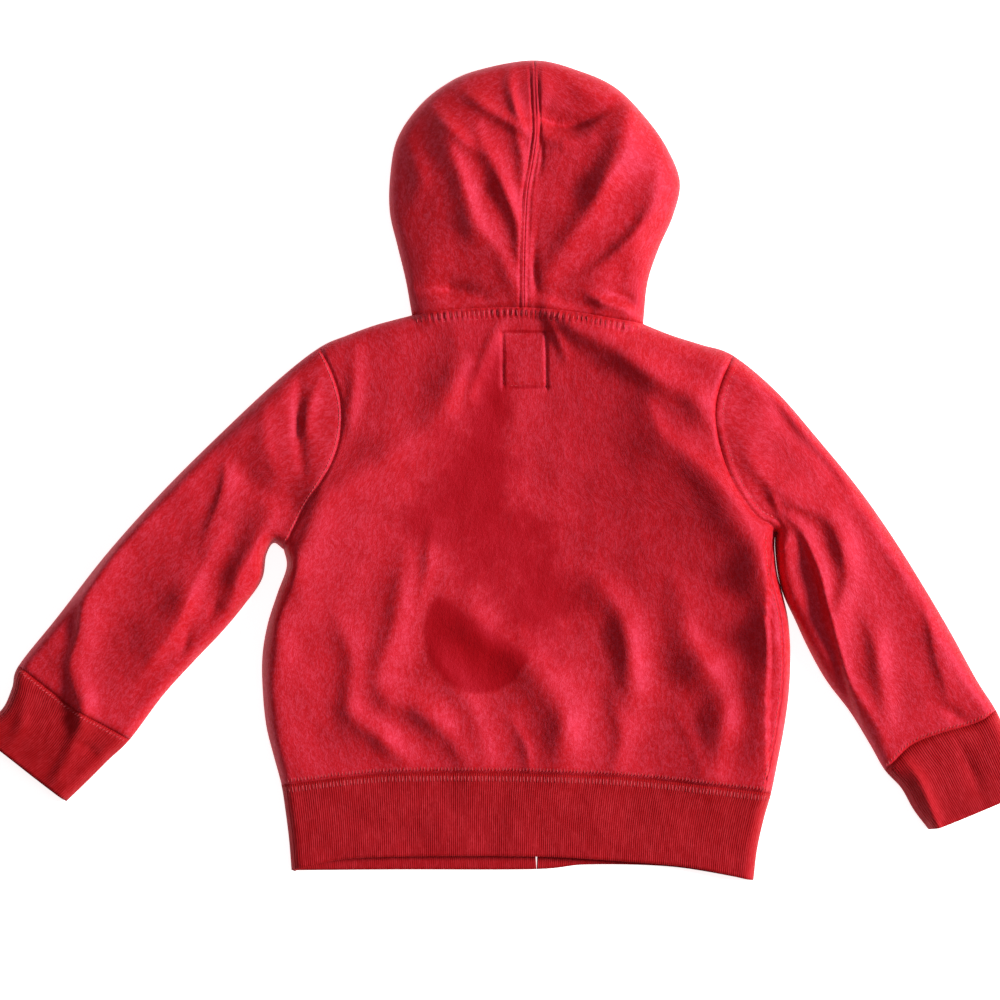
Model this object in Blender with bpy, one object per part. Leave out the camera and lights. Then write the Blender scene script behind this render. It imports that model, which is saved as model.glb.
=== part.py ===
"""A toddler's fleece zip hoodie, laid face down with its hood spread above the shoulders.

X runs across the garment, Y from the hem to the hood and Z up from the surface that it lies on. The upper
layer is one height over that surface, worked out from three tables: the folded edges that it comes down to,
how high the cloth stands at a few places, and its creases. The lower layer lies flat. Every sewn piece is a
wall of even thickness that keeps a small gap to its neighbours along the seams.
"""

import math

import bmesh
import bpy
import numpy as np

# Cloth and seams, in metres
FLEECE = 0.0020  # wall of the brushed fleece
RIB = 0.0024  # wall of the rib knit, which is folded double
FOLD_RADIUS = 0.0030  # outer radius where the cloth turns under itself
SEAM_GAP = 0.0003  # between two pieces along their seam
LAYER_GAP = 0.0006  # least air between the upper and the lower layer
SIDE_SEAM_IN = 0.0050  # how far in from the right edge the side seam shows
SIDE_SEAM_START = 0.0008  # the same, right at the underarm
SIDE_SEAM_RUN = 0.030  # length over which it moves in

# Zip
CHAIN_WIDTH = 0.0044
CHAIN_BOTTOM = 0.0027  # over the surface, so that it clears the folded rib
CHAIN_THICKNESS = 0.0016
TAPE_WIDTH = 0.011
TAPE_THICKNESS = 0.0006
TAPE_END = 0.0440  # y, just under the neckline
ZIP_START = -0.2455  # y, 10 mm above the lower edge of the hem band
ZIP_STATIONS = 13
SLIDER_WIDTH = 0.0072
SLIDER_LENGTH = 0.0095
SLIDER_END = 0.0420  # y of its end at the neck
SLIDER_PLATE = 0.0009
SLIDER_BRIDGE = 0.0025  # the solid end that parts the two rows of teeth
LUG_INNER = 0.0011  # from the middle of the slider to a lug
LUG_THICKNESS = 0.0009
LUG_BOTTOM = 0.0009
PIN_RADIUS = 0.00045
PIN_Y = 0.0435
PIN_HEIGHT = 0.0015
EYE_INNER = 0.00075
EYE_OUTER = 0.0012
EYE_HALF = 0.0008  # half the width of the eye of the pull tab
TAB_NECK = 0.0029  # from the pin to where the tab gets wider
TAB_WIDTH = 0.0034
TAB_LENGTH = 0.022
TAB_THICKNESS = 0.0009
TAB_OVER_FLOOR = 0.0003
ROUND_STEPS = 16

# Colours, linear
FLEECE_RED = (0.560, 0.018, 0.030)
RIB_RED = (0.370, 0.010, 0.014)
ZIP_RED = (0.300, 0.009, 0.012)
METAL = (0.620, 0.620, 0.640)

# Folded edges, clockwise from the left of the neck: (x, y)
HOOD_EDGE_LEFT = [
    (-0.0570, 0.0990), (-0.0610, 0.1215), (-0.0662, 0.1430), (-0.0712, 0.1650), (-0.0710, 0.1880),
    (-0.0668, 0.2110), (-0.0545, 0.2305), (-0.0380, 0.2452), (-0.0165, 0.2555), (0.0212, 0.2622),
]
HOOD_EDGE_RIGHT = [
    (0.0212, 0.2622), (0.0515, 0.2550), (0.0740, 0.2442), (0.0930, 0.2250), (0.1065, 0.2055),
    (0.1145, 0.1840), (0.1100, 0.1625), (0.1010, 0.1420), (0.0938, 0.1200), (0.0910, 0.0935),
]
SHOULDER_RIGHT = [(0.0910, 0.0935), (0.1085, 0.0865), (0.1280, 0.0803), (0.1485, 0.0733)]
SLEEVE_OUTER_RIGHT = [
    (0.1485, 0.0733), (0.1765, 0.0500), (0.2035, 0.0190), (0.2285, -0.0115), (0.2500, -0.0420),
    (0.2695, -0.0730), (0.2875, -0.1035), (0.3045, -0.1345), (0.3165, -0.1535),
]
CUFF_OUTER_RIGHT = [(0.3165, -0.1535), (0.3275, -0.1780), (0.3385, -0.2035)]
CUFF_INNER_RIGHT = [(0.2735, -0.2300), (0.2640, -0.2175), (0.2560, -0.2035), (0.2455, -0.1920)]
SLEEVE_INNER_RIGHT = [
    (0.2455, -0.1920), (0.2360, -0.1755), (0.2235, -0.1550), (0.2080, -0.1345), (0.1965, -0.1140),
    (0.1877, -0.0950), (0.1824, -0.0800), (0.1791, -0.0660), (0.1775, -0.0500), (0.1755, -0.0405),
]
SIDE_RIGHT = [
    (0.1755, -0.0405), (0.1751, -0.0500), (0.1768, -0.0660), (0.1804, -0.0800), (0.1838, -0.0960),
    (0.1852, -0.1180), (0.1843, -0.1420), (0.1812, -0.1650), (0.1770, -0.1870), (0.1730, -0.2065),
]
HEM_SIDE_RIGHT = [(0.1730, -0.2065), (0.1685, -0.2220), (0.1640, -0.2420), (0.1615, -0.2625)]
HEM_SIDE_LEFT = [(-0.1340, -0.2560), (-0.1355, -0.2370), (-0.1380, -0.2170), (-0.1405, -0.2015)]
SIDE_LEFT = [
    (-0.1405, -0.2015), (-0.1455, -0.1830), (-0.1502, -0.1640), (-0.1525, -0.1420), (-0.1528, -0.1200),
    (-0.1495, -0.0990), (-0.1430, -0.0785), (-0.1372, -0.0620), (-0.1390, -0.0510),
]
SLEEVE_INNER_LEFT = [
    (-0.1390, -0.0510), (-0.1455, -0.0468), (-0.1502, -0.0545), (-0.1530, -0.0700), (-0.1640, -0.0860),
    (-0.1785, -0.1035), (-0.1980, -0.1240), (-0.2165, -0.1445), (-0.2375, -0.1725),
]
CUFF_INNER_LEFT = [(-0.2375, -0.1725), (-0.2510, -0.1855), (-0.2645, -0.1990), (-0.2780, -0.2120)]
CUFF_OUTER_LEFT = [(-0.3385, -0.1650), (-0.3205, -0.1545), (-0.3130, -0.1400), (-0.3085, -0.1250)]
SLEEVE_OUTER_LEFT = [
    (-0.3085, -0.1250), (-0.2835, -0.0935), (-0.2515, -0.0525), (-0.2145, -0.0115), (-0.1730, 0.0295),
    (-0.1400, 0.0600), (-0.1160, 0.0785),
]
SHOULDER_LEFT = [(-0.1160, 0.0785), (-0.0985, 0.0862), (-0.0790, 0.0932), (-0.0570, 0.0990)]

# Seams over the upper layer: (x, y)
ARMHOLE_LEFT = [
    (-0.1160, 0.0785), (-0.1080, 0.0615), (-0.1025, 0.0430), (-0.1025, 0.0250), (-0.1075, 0.0065),
    (-0.1165, -0.0100), (-0.1265, -0.0260), (-0.1390, -0.0510),
]
ARMHOLE_RIGHT = [
    (0.1485, 0.0733), (0.1400, 0.0550), (0.1365, 0.0350), (0.1410, 0.0095), (0.1500, -0.0120),
    (0.1625, -0.0295), (0.1718, -0.0350), (0.1755, -0.0405),
]
NECK_SEAM = [
    (-0.0570, 0.0990), (-0.0385, 0.1018), (-0.0120, 0.1035), (0.0145, 0.1038), (0.0465, 0.1010),
    (0.0700, 0.0970), (0.0910, 0.0935),
]
HOOD_SEAM = [
    (0.0145, 0.1038), (0.0145, 0.1240), (0.0152, 0.1500), (0.0165, 0.1755), (0.0200, 0.1965),
    (0.0225, 0.2150), (0.0220, 0.2320), (0.0214, 0.2480),
]
HEM_SEAM = [
    (-0.1405, -0.2015), (-0.0990, -0.1962), (-0.0600, -0.1937), (0.0220, -0.1940), (0.0885, -0.1972),
    (0.1730, -0.2065),
]
HEM_EDGE = [
    (-0.1340, -0.2555), (-0.1000, -0.2488), (-0.0600, -0.2470), (0.0220, -0.2470), (0.0720, -0.2497),
    (0.1210, -0.2540), (0.1615, -0.2625),
]
CUFF_SEAM_RIGHT = [(0.3165, -0.1535), (0.3035, -0.1615), (0.2780, -0.1690), (0.2610, -0.1765), (0.2455, -0.1920)]
CUFF_SEAM_LEFT = [(-0.3085, -0.1250), (-0.2760, -0.1500), (-0.2375, -0.1725)]
CUFF_END_RIGHT = [(0.3385, -0.2035), (0.3195, -0.2125), (0.2860, -0.2265), (0.2735, -0.2300)]
CUFF_END_LEFT = [(-0.3385, -0.1650), (-0.3205, -0.1790), (-0.2970, -0.1975), (-0.2780, -0.2120)]

# Seams and edges of the lower layer, which hold the zip at the centre front: (x, y)
FRONT_ARMHOLE_LEFT = [
    (-0.1160, 0.0785), (-0.1030, 0.0600), (-0.0965, 0.0380), (-0.0975, 0.0150), (-0.1060, -0.0080),
    (-0.1210, -0.0310), (-0.1390, -0.0510),
]
FRONT_ARMHOLE_RIGHT = [
    (0.1485, 0.0733), (0.1340, 0.0520), (0.1275, 0.0310), (0.1290, 0.0080), (0.1390, -0.0130),
    (0.1550, -0.0270), (0.1695, -0.0338), (0.1755, -0.0405),
]
NECKLINE_LEFT = [(-0.0570, 0.0990), (-0.0420, 0.0760), (-0.0190, 0.0570), (0.0141, 0.0448)]
NECKLINE_RIGHT = [(0.0910, 0.0935), (0.0780, 0.0740), (0.0550, 0.0560), (0.0231, 0.0448)]
FRONT_HEM_SEAM = [(-0.1405, -0.2015), (-0.0600, -0.2030), (0.0220, -0.2035), (0.1000, -0.2045), (0.1730, -0.2065)]
FRONT_HEM_EDGE = [
    (-0.1340, -0.2562), (-0.0660, -0.2557), (0.0220, -0.2555), (0.0560, -0.2525), (0.1100, -0.2540),
    (0.1615, -0.2625),
]
ZIP_LINE = [(0.0228, -0.2560), (0.0219, -0.2035), (0.0200, -0.0800), (0.0186, 0.0448)]
ZIP_GAP = [(-0.2560, 0.0032), (-0.2035, 0.0056), (0.0050, 0.0056), (0.0448, 0.0090)]  # (y, gap between the fronts)
FACE_EDGE_LEFT = [(0.0141, 0.0448), (-0.0030, 0.0950), (-0.0020, 0.1650), (0.0205, 0.2300)]
FACE_EDGE_RIGHT = [(0.0231, 0.0448), (0.0410, 0.0950), (0.0400, 0.1650), (0.0205, 0.2300)]

# Folded edges that run on smoothly from one to the next
FOLDED = (
    ("hood_left", HOOD_EDGE_LEFT, "hood_right", HOOD_EDGE_RIGHT),
    ("shoulder_right", SHOULDER_RIGHT, "sleeve_outer_right", SLEEVE_OUTER_RIGHT, "cuff_outer_right", CUFF_OUTER_RIGHT),
    ("cuff_inner_right", CUFF_INNER_RIGHT, "sleeve_inner_right", SLEEVE_INNER_RIGHT),
    ("side_right", SIDE_RIGHT, "hem_side_right", HEM_SIDE_RIGHT),
    ("hem_side_left", HEM_SIDE_LEFT, "side_left", SIDE_LEFT),
    ("sleeve_inner_left", SLEEVE_INNER_LEFT, "cuff_inner_left", CUFF_INNER_LEFT),
    ("cuff_outer_left", CUFF_OUTER_LEFT, "sleeve_outer_left", SLEEVE_OUTER_LEFT, "shoulder_left", SHOULDER_LEFT),
)

# How high the upper layer stands: (x, y, height, width of the slope down to a folded edge)
LOFT = [
    (0.015, 0.186, 0.0240, 0.038),
    (-0.030, 0.185, 0.0220, 0.040),
    (0.076, 0.195, 0.0235, 0.028),
    (0.015, 0.234, 0.0205, 0.026),
    (0.015, 0.133, 0.0180, 0.022),
    (-0.035, 0.125, 0.0150, 0.020),
    (0.076, 0.122, 0.0165, 0.014),
    (0.015, 0.090, 0.0120, 0.012),
    (0.015, 0.051, 0.0095, 0.012),
    (-0.065, 0.076, 0.0130, 0.014),
    (0.095, 0.077, 0.0130, 0.012),
    (-0.125, -0.038, 0.0180, 0.008),
    (-0.136, -0.083, 0.0190, 0.008),
    (-0.143, -0.125, 0.0190, 0.008),
    (-0.136, -0.176, 0.0145, 0.008),
    (-0.100, -0.006, 0.0140, 0.010),
    (-0.090, -0.058, 0.0130, 0.010),
    (-0.097, -0.109, 0.0130, 0.010),
    (-0.045, -0.006, 0.0095, 0.010),
    (-0.039, -0.058, 0.0090, 0.010),
    (0.171, -0.058, 0.0210, 0.008),
    (0.176, -0.115, 0.0215, 0.008),
    (0.171, -0.173, 0.0170, 0.008),
    (0.147, -0.109, 0.0150, 0.010),
    (0.121, -0.058, 0.0110, 0.010),
    (0.089, -0.006, 0.0100, 0.010),
    (-0.001, -0.019, 0.0085, 0.010),
    (0.044, -0.019, 0.0085, 0.010),
    (0.063, -0.083, 0.0088, 0.010),
    (-0.045, -0.115, 0.0095, 0.010),
    (0.012, -0.160, 0.0100, 0.010),
    (-0.071, -0.166, 0.0105, 0.010),
    (0.108, -0.147, 0.0105, 0.010),
    (-0.125, -0.202, 0.0110, 0.008),
    (0.015, -0.200, 0.0105, 0.010),
    (0.155, -0.204, 0.0120, 0.008),
    (-0.125, -0.250, 0.0100, 0.008),
    (0.015, -0.246, 0.0098, 0.008),
    (0.150, -0.256, 0.0102, 0.008),
    (-0.135, 0.032, 0.0135, 0.014),
    (-0.180, -0.019, 0.0135, 0.014),
    (-0.167, -0.058, 0.0125, 0.010),
    (-0.244, -0.096, 0.0135, 0.014),
    (-0.276, -0.147, 0.0115, 0.012),
    (-0.295, -0.179, 0.0106, 0.008),
    (-0.218, -0.122, 0.0115, 0.010),
    (0.179, 0.032, 0.0140, 0.012),
    (0.223, -0.019, 0.0140, 0.012),
    (0.243, -0.083, 0.0140, 0.012),
    (0.275, -0.109, 0.0130, 0.012),
    (0.255, -0.147, 0.0120, 0.010),
    (0.294, -0.173, 0.0112, 0.009),
    (0.294, -0.211, 0.0106, 0.008),
]
LOFT_REACH = 0.030  # over which the width of the slope blends from one place to the next
EDGE_ROUND = 0.0055  # width of the tight turn at a folded edge
EDGE_SHARE = 0.42  # share of the height that the tight turn takes
CURVE_STEPS = 14  # points of a smooth line between two that it is drawn through
CREASE_END = 0.35  # share of a crease over which it dies away at each end

# Creases: start, middle and end of each line, half its width, its height (a trough is below zero), and how
# much wider the side on the right of its direction is
CREASES = [
    (-0.022, 0.095, -0.044, 0.045, -0.097, 0.005, 0.0196, 0.0060, -0.10),  # drag line, neck to left underarm
    (-0.083, 0.016, -0.118, -0.014, -0.132, -0.074, 0.0196, 0.0060, -0.20),
    (0.035, 0.097, 0.081, 0.076, 0.131, 0.029, 0.0154, 0.0075, -0.15),  # drag lines, neck to right underarm
    (0.081, 0.050, 0.121, 0.003, 0.163, -0.045, 0.0196, 0.0095, -0.10),
    (0.156, -0.022, 0.177, -0.083, 0.178, -0.147, 0.0252, 0.0080, 0.10),  # right rim
    (0.178, -0.109, 0.177, -0.160, 0.168, -0.205, 0.0105, 0.0040, 0.00),
    (-0.129, -0.058, -0.142, -0.109, -0.139, -0.160, 0.0119, 0.0030, 0.00),  # left rim
    (-0.039, -0.045, -0.065, -0.083, -0.075, -0.118, 0.0161, 0.0038, -0.20),  # folds over the lower back
    (-0.073, -0.109, -0.079, -0.141, -0.090, -0.151, 0.0126, 0.0034, -0.20),
    (-0.100, -0.083, -0.109, -0.122, -0.104, -0.157, 0.0133, 0.0030, -0.20),
    (-0.117, -0.151, -0.090, -0.168, -0.060, -0.188, 0.0112, 0.0042, -0.20),
    (-0.086, -0.131, -0.052, -0.151, -0.026, -0.187, 0.0119, 0.0044, -0.20),
    (-0.045, -0.112, -0.021, -0.147, -0.011, -0.188, 0.0133, 0.0034, -0.20),
    (-0.035, -0.078, -0.020, -0.106, 0.025, -0.124, 0.0154, 0.0054, -0.25),
    (-0.001, -0.115, 0.035, -0.132, 0.040, -0.179, 0.0161, 0.0056, -0.25),
    (0.054, -0.064, 0.080, -0.102, 0.080, -0.145, 0.0140, 0.0050, -0.20),
    (0.072, -0.132, 0.077, -0.160, 0.071, -0.192, 0.0112, 0.0032, -0.10),
    (0.097, -0.073, 0.121, -0.108, 0.136, -0.151, 0.0154, 0.0054, -0.25),
    (0.132, -0.127, 0.138, -0.160, 0.127, -0.196, 0.0126, 0.0044, -0.20),
    (-0.030, 0.214, -0.022, 0.168, 0.012, 0.106, 0.0133, 0.0056, -0.25),  # folds of the hood
    (-0.016, 0.215, -0.006, 0.179, 0.010, 0.141, 0.0105, 0.0046, -0.20),
    (0.025, 0.227, 0.043, 0.215, 0.067, 0.229, 0.0112, -0.0045, 0.00),
    (0.079, 0.251, 0.083, 0.211, 0.060, 0.173, 0.0196, 0.0070, 0.15),
    (0.074, 0.200, 0.056, 0.160, 0.025, 0.111, 0.0175, 0.0060, 0.15),
    (0.109, 0.214, 0.100, 0.176, 0.080, 0.142, 0.0140, 0.0040, 0.00),
    (0.090, 0.159, 0.066, 0.129, 0.038, 0.114, 0.0133, 0.0036, 0.00),
    (-0.225, -0.026, -0.255, -0.083, -0.264, -0.160, 0.0168, 0.0050, -0.10),  # folds of the left sleeve
    (-0.184, -0.042, -0.209, -0.093, -0.237, -0.143, 0.0140, 0.0050, 0.10),
    (0.144, 0.036, 0.171, -0.005, 0.211, -0.024, 0.0160, 0.0034, -0.10),  # folds of the right sleeve
    (0.190, -0.013, 0.220, -0.048, 0.216, -0.096, 0.0160, 0.0032, -0.10),
    (0.236, -0.079, 0.253, -0.122, 0.259, -0.173, 0.0160, 0.0028, -0.10),
]

# Where the grid of a piece lies closer, next to a folded edge
TOP_INSETS = (0.0, 0.0008, 0.0026, 0.0062)
LOW_INSETS = (0.0, 0.0009, FOLD_RADIUS)

SEAM_FADE = 0.12  # share of a tube over which the curve of its end seam straightens out
UNDERARM_ROWS = 2.0  # how strongly the rows of a sleeve crowd at the underarm

# Rows and columns of the grids
SIDE_STEPS = (0.22, 0.55, 1.0)  # shares of the way from the right side to its seam
SIDE_ROWS = 14
NECK_COLUMNS = 6
FACE_COLUMNS = 5
ARM_COLUMNS = 8
ARM_LOW_COLUMNS = 5
SLEEVE_ROWS = 18
CUFF_ROWS = 4
HEM_ROWS = 5
HOOD_ROWS = 17


def eased(value):
    """A smooth step from 0 to 1 over the values from 0 to 1."""
    value = np.clip(value, 0.0, 1.0)
    return value * value * (3.0 - 2.0 * value)


class Curve:
    """A smooth plane line through a few points, read by its share of the length."""

    def __init__(self, points, steps=CURVE_STEPS):
        known = np.array(points, float)
        known = np.vstack([2 * known[0] - known[1], known, 2 * known[-1] - known[-2]])
        t = np.linspace(0.0, 1.0, steps, endpoint=False)[:, None]
        spans = []
        for before, start, end, after in zip(known, known[1:], known[2:], known[3:]):
            slope = 0.5 * (end - before)
            bend = before - 2.5 * start + 2.0 * end - 0.5 * after
            twist = 1.5 * (start - end) + 0.5 * (after - before)
            spans.append(start + slope * t + bend * t**2 + twist * t**3)
        self.take(np.vstack(spans + [known[-2:-1]]))

    def take(self, line):
        """Use these points as the line."""
        self.line = line
        lengths = np.linalg.norm(np.diff(line, axis=0), axis=1)
        self.length = lengths.sum()
        self.share = np.concatenate([[0.0], np.cumsum(lengths)]) / self.length

    def at(self, share):
        """The points at these shares of the length."""
        return np.stack([np.interp(share, self.share, self.line[:, axis]) for axis in (0, 1)], axis=-1)

    def piece(self, first, last):
        """The stretch of the line between two of the points that it was drawn through."""
        other = Curve.__new__(Curve)
        other.take(self.line[first * CURVE_STEPS : last * CURVE_STEPS + 1])
        return other

    def reversed(self):
        """The same line, run from its end to its start."""
        other = Curve.__new__(Curve)
        other.take(self.line[::-1])
        return other


def folded_edges():
    """Each folded edge by its name, as a stretch of the smooth line that it is part of."""
    edges = {}
    for chain in FOLDED:
        names, tables = chain[::2], chain[1::2]
        points = [tables[0][0]]
        for table in tables:
            points += table[1:]
        whole = Curve(points)
        first = 0
        for name, table in zip(names, tables):
            last = first + len(table) - 1
            edges[name] = whole.piece(first, last)
            first = last
    return edges


class FoldedEdges:
    """The lines where the upper layer turns down to the lower one, and how far a point is from them."""

    def __init__(self, curves):
        lines = [curve.line[::2] for curve in curves]
        self.start = np.vstack([line[:-1] for line in lines])
        self.run = np.vstack([np.diff(line, axis=0) for line in lines])
        length = np.linalg.norm(self.run, axis=1, keepdims=True)
        self.outward = np.column_stack([-self.run[:, 1], self.run[:, 0]]) / length

    def distance(self, points, block=2048):
        """The distance of each point, and the unit vector that points from it to the nearest edge."""
        near = np.empty(len(points))
        way = np.empty((len(points), 2))
        for first in range(0, len(points), block):
            some = points[first : first + block, None, :]
            along = ((some - self.start) * self.run).sum(-1) / (self.run**2).sum(-1)
            gap = self.start + np.clip(along, 0.0, 1.0)[..., None] * self.run - some
            size = (gap**2).sum(-1)
            best = size.argmin(axis=1)
            rows = np.arange(len(best))
            near[first : first + block] = np.sqrt(size[rows, best])
            away = gap[rows, best] + self.outward[best] * 1e-4
            way[first : first + block] = away / np.linalg.norm(away, axis=1, keepdims=True)
        return near, way


def plate(far):
    """How much a thin plate gives at this squared distance from a place that holds it."""
    return far * np.log(far + 1e-12)


class Loft:
    """The upper layer as a thin plate through the places of a table."""

    def __init__(self, table):
        table = np.array(table)
        self.place = table[:, :2]
        self.width = table[:, 3]
        count = len(table)
        far = ((self.place[:, None, :] - self.place) ** 2).sum(-1)
        flat = np.column_stack([np.ones(count), self.place])
        system = np.block([[plate(far), flat], [flat.T, np.zeros((3, 3))]])
        self.weight = np.linalg.solve(system, np.concatenate([table[:, 2], np.zeros(3)]))
        self.low = table[:, 2].min() - 0.0005
        self.high = table[:, 2].max() + 0.002

    def at(self, points):
        """The height of the upper layer at each point, and the width of its slope to a folded edge."""
        far = ((points[:, None, :] - self.place) ** 2).sum(-1)
        height = plate(far) @ self.weight[:-3] + self.weight[-3] + points @ self.weight[-2:]
        near = np.exp(-far / (2.0 * LOFT_REACH**2)) + 1e-12
        near /= near.sum(axis=1, keepdims=True)
        return np.clip(height, self.low, self.high), near @ self.width


def crease_height(points):
    """The sum of all creases at each point."""
    total = np.zeros(len(points))
    for x0, y0, x1, y1, x2, y2, half_width, height, lean in CREASES:
        line = Curve([(x0, y0), (x1, y1), (x2, y2)], 6)
        run = np.diff(line.line, axis=0)
        offset = points[:, None, :] - line.line[:-1]
        along = np.clip((offset * run).sum(-1) / (run**2).sum(-1), 0.0, 1.0)
        gap = offset - along[..., None] * run
        best = (gap**2).sum(-1).argmin(axis=1)
        rows = np.arange(len(points))
        gap = gap[rows, best]
        share = line.share[best] + along[rows, best] * np.diff(line.share)[best]
        side = np.sign(gap[:, 0] * run[best, 1] - gap[:, 1] * run[best, 0])
        width = half_width * (1.0 + lean * side)
        across = np.exp(-((gap**2).sum(-1)) / width**2)
        total += height * across * eased(share / CREASE_END) * eased((1.0 - share) / CREASE_END)
    return total


def wall(points, low, thickness, edges, table):
    """The outer and inner points of the cloth over or under these places.

    low says for each place whether it is on the lower layer. Near a folded edge the two layers run into one
    another round FOLD_RADIUS.
    """
    near, way = edges.distance(points)
    high, width = table.at(points)
    part = np.clip(near / width, 0.0, 1.0)
    tight = np.clip(near / np.minimum(EDGE_ROUND, width), 0.0, 1.0)
    slope = EDGE_SHARE * np.sqrt(1.0 - (1.0 - tight) ** 2) + (1.0 - EDGE_SHARE) * (1.0 - (1.0 - part) ** 2)
    crease = crease_height(points) * slope
    least = 2.0 * thickness + LAYER_GAP
    outer_z = FOLD_RADIUS + (high - FOLD_RADIUS) * slope + crease
    outer_z = np.maximum(outer_z, np.minimum(least, FOLD_RADIUS + near))
    inner_z = FOLD_RADIUS + (high - thickness - FOLD_RADIUS) * slope + crease
    inner_z = np.maximum(inner_z, min(thickness + LAYER_GAP, FOLD_RADIUS))
    turn = np.clip(1.0 - near / FOLD_RADIUS, 0.0, 1.0)
    low_z = FOLD_RADIUS * (1.0 - np.sqrt(1.0 - turn**2))
    low_inner_z = FOLD_RADIUS - (FOLD_RADIUS - low_z) * (1.0 - thickness / FOLD_RADIUS)
    shift = thickness * np.where(low, turn, 1.0 - part)
    outer = np.column_stack([points, np.where(low, low_z, outer_z)])
    inner = np.column_stack([points - way * shift[:, None], np.where(low, low_inner_z, inner_z)])
    return outer, inner


def clock(length, count, start=(0.0,), end=(0.0,)):
    """Shares of a line of this length: the insets from its ends, and count places evenly between them."""
    first = np.array(start) / length
    last = 1.0 - np.array(end)[::-1] / length
    between = np.linspace(first[-1], last[0], count + 2)[1:-1]
    return np.concatenate([first, between, last])


def aside(line, side):
    """The points of a line, each moved by half the seam gap to the left (1) or the right (-1) of its run."""
    run = np.gradient(line, axis=0)
    run /= np.linalg.norm(run, axis=1, keepdims=True)
    return line + side * SEAM_GAP / 2.0 * np.column_stack([-run[:, 1], run[:, 0]])


def chord_shares(line):
    """How far along its length each point of a line lies."""
    steps = np.linalg.norm(np.diff(line, axis=0), axis=1)
    return np.concatenate([[0.0], np.cumsum(steps)]) / steps.sum()


def patch(first, last, left, right):
    """A grid of plane points between four rows of points.

    first and last run from left to right, and left and right run from first to last. Each corner takes up what
    both of its rows are moved by.
    """
    first, last, left, right = (line.copy() for line in (first, last, left, right))
    across = chord_shares(first)[None, :] * (1.0 - chord_shares(left)[:, None])
    across = across + chord_shares(last)[None, :] * chord_shares(left)[:, None]
    down = chord_shares(left)[:, None] * (1.0 - chord_shares(first)[None, :])
    down = down + chord_shares(right)[:, None] * chord_shares(first)[None, :]
    across = across[..., None]
    down = down[..., None]
    grid = (1.0 - down) * first[None, :] + down * last[None, :]
    grid = grid + (1.0 - across) * left[:, None] + across * right[:, None]
    grid = grid - (1.0 - across) * ((1.0 - down) * first[0] + down * last[0])
    return grid - across * ((1.0 - down) * first[-1] + down * last[-1])


def meet(first, last, left, right, corners):
    """The four rows with their ends drawn together, each corner moved by what both of its rows are moved."""
    rows = [line.copy() for line in (first, last, left, right)]
    first, last, left, right = rows
    for (row, at), (column, end), corner in (
        ((first, 0), (left, 0), corners[0]),
        ((first, -1), (right, 0), corners[1]),
        ((last, 0), (left, -1), corners[2]),
        ((last, -1), (right, -1), corners[3]),
    ):
        place = row[at] + column[end] - np.array(corner)
        row[at] = place
        column[end] = place
    return patch(first, last, left, right)


def grid_triangles(rows, columns, closed=False, start=0):
    """The triangles of a grid of points. The diagonals run out from its first corners."""
    triangles = []
    for row in range(rows - 1):
        for column in range(columns if closed else columns - 1):
            a = start + row * columns + column
            b = start + row * columns + (column + 1) % columns
            c = a + columns
            d = b + columns
            if (row < rows // 2) == (column < columns // 2):
                triangles += [(a, b, d), (a, d, c)]
            else:
                triangles += [(a, b, c), (b, d, c)]
    return triangles


def wall_solid(name, outer, inner, triangles, material):
    """A closed wall between an outer and an inner surface of the same triangles."""
    mesh = bmesh.new()
    outside = [mesh.verts.new(point) for point in outer]
    inside = [mesh.verts.new(point) for point in inner]
    sides = {}
    for a, b, c in triangles:
        mesh.faces.new((outside[a], outside[b], outside[c]))
        mesh.faces.new((inside[c], inside[b], inside[a]))
        for start, end in ((a, b), (b, c), (c, a)):
            sides.setdefault(frozenset((start, end)), []).append((start, end))
    for used in sides.values():
        if len(used) == 1:
            start, end = used[0]
            mesh.faces.new((outside[end], outside[start], inside[start]))
            mesh.faces.new((outside[end], inside[start], inside[end]))
    for vertex in [vertex for vertex in mesh.verts if not vertex.link_faces]:
        mesh.verts.remove(vertex)
    return finish(name, mesh, material, True)


def finish(name, mesh, material, smooth):
    """Turn a bmesh into an object with outward faces."""
    bmesh.ops.recalc_face_normals(mesh, faces=mesh.faces)
    for face in mesh.faces:
        face.smooth = smooth
    data = bpy.data.meshes.new(name)
    mesh.to_mesh(data)
    mesh.free()
    data.materials.append(material)
    item = bpy.data.objects.new(name, data)
    bpy.context.collection.objects.link(item)
    return item


def paint(name, colour, roughness, metallic=0.0):
    """A Principled material."""
    material = bpy.data.materials.new(name)
    material.use_nodes = True
    shader = material.node_tree.nodes["Principled BSDF"]
    shader.inputs["Base Color"].default_value = (*colour, 1.0)
    shader.inputs["Roughness"].default_value = roughness
    shader.inputs["Metallic"].default_value = metallic
    return material


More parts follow.
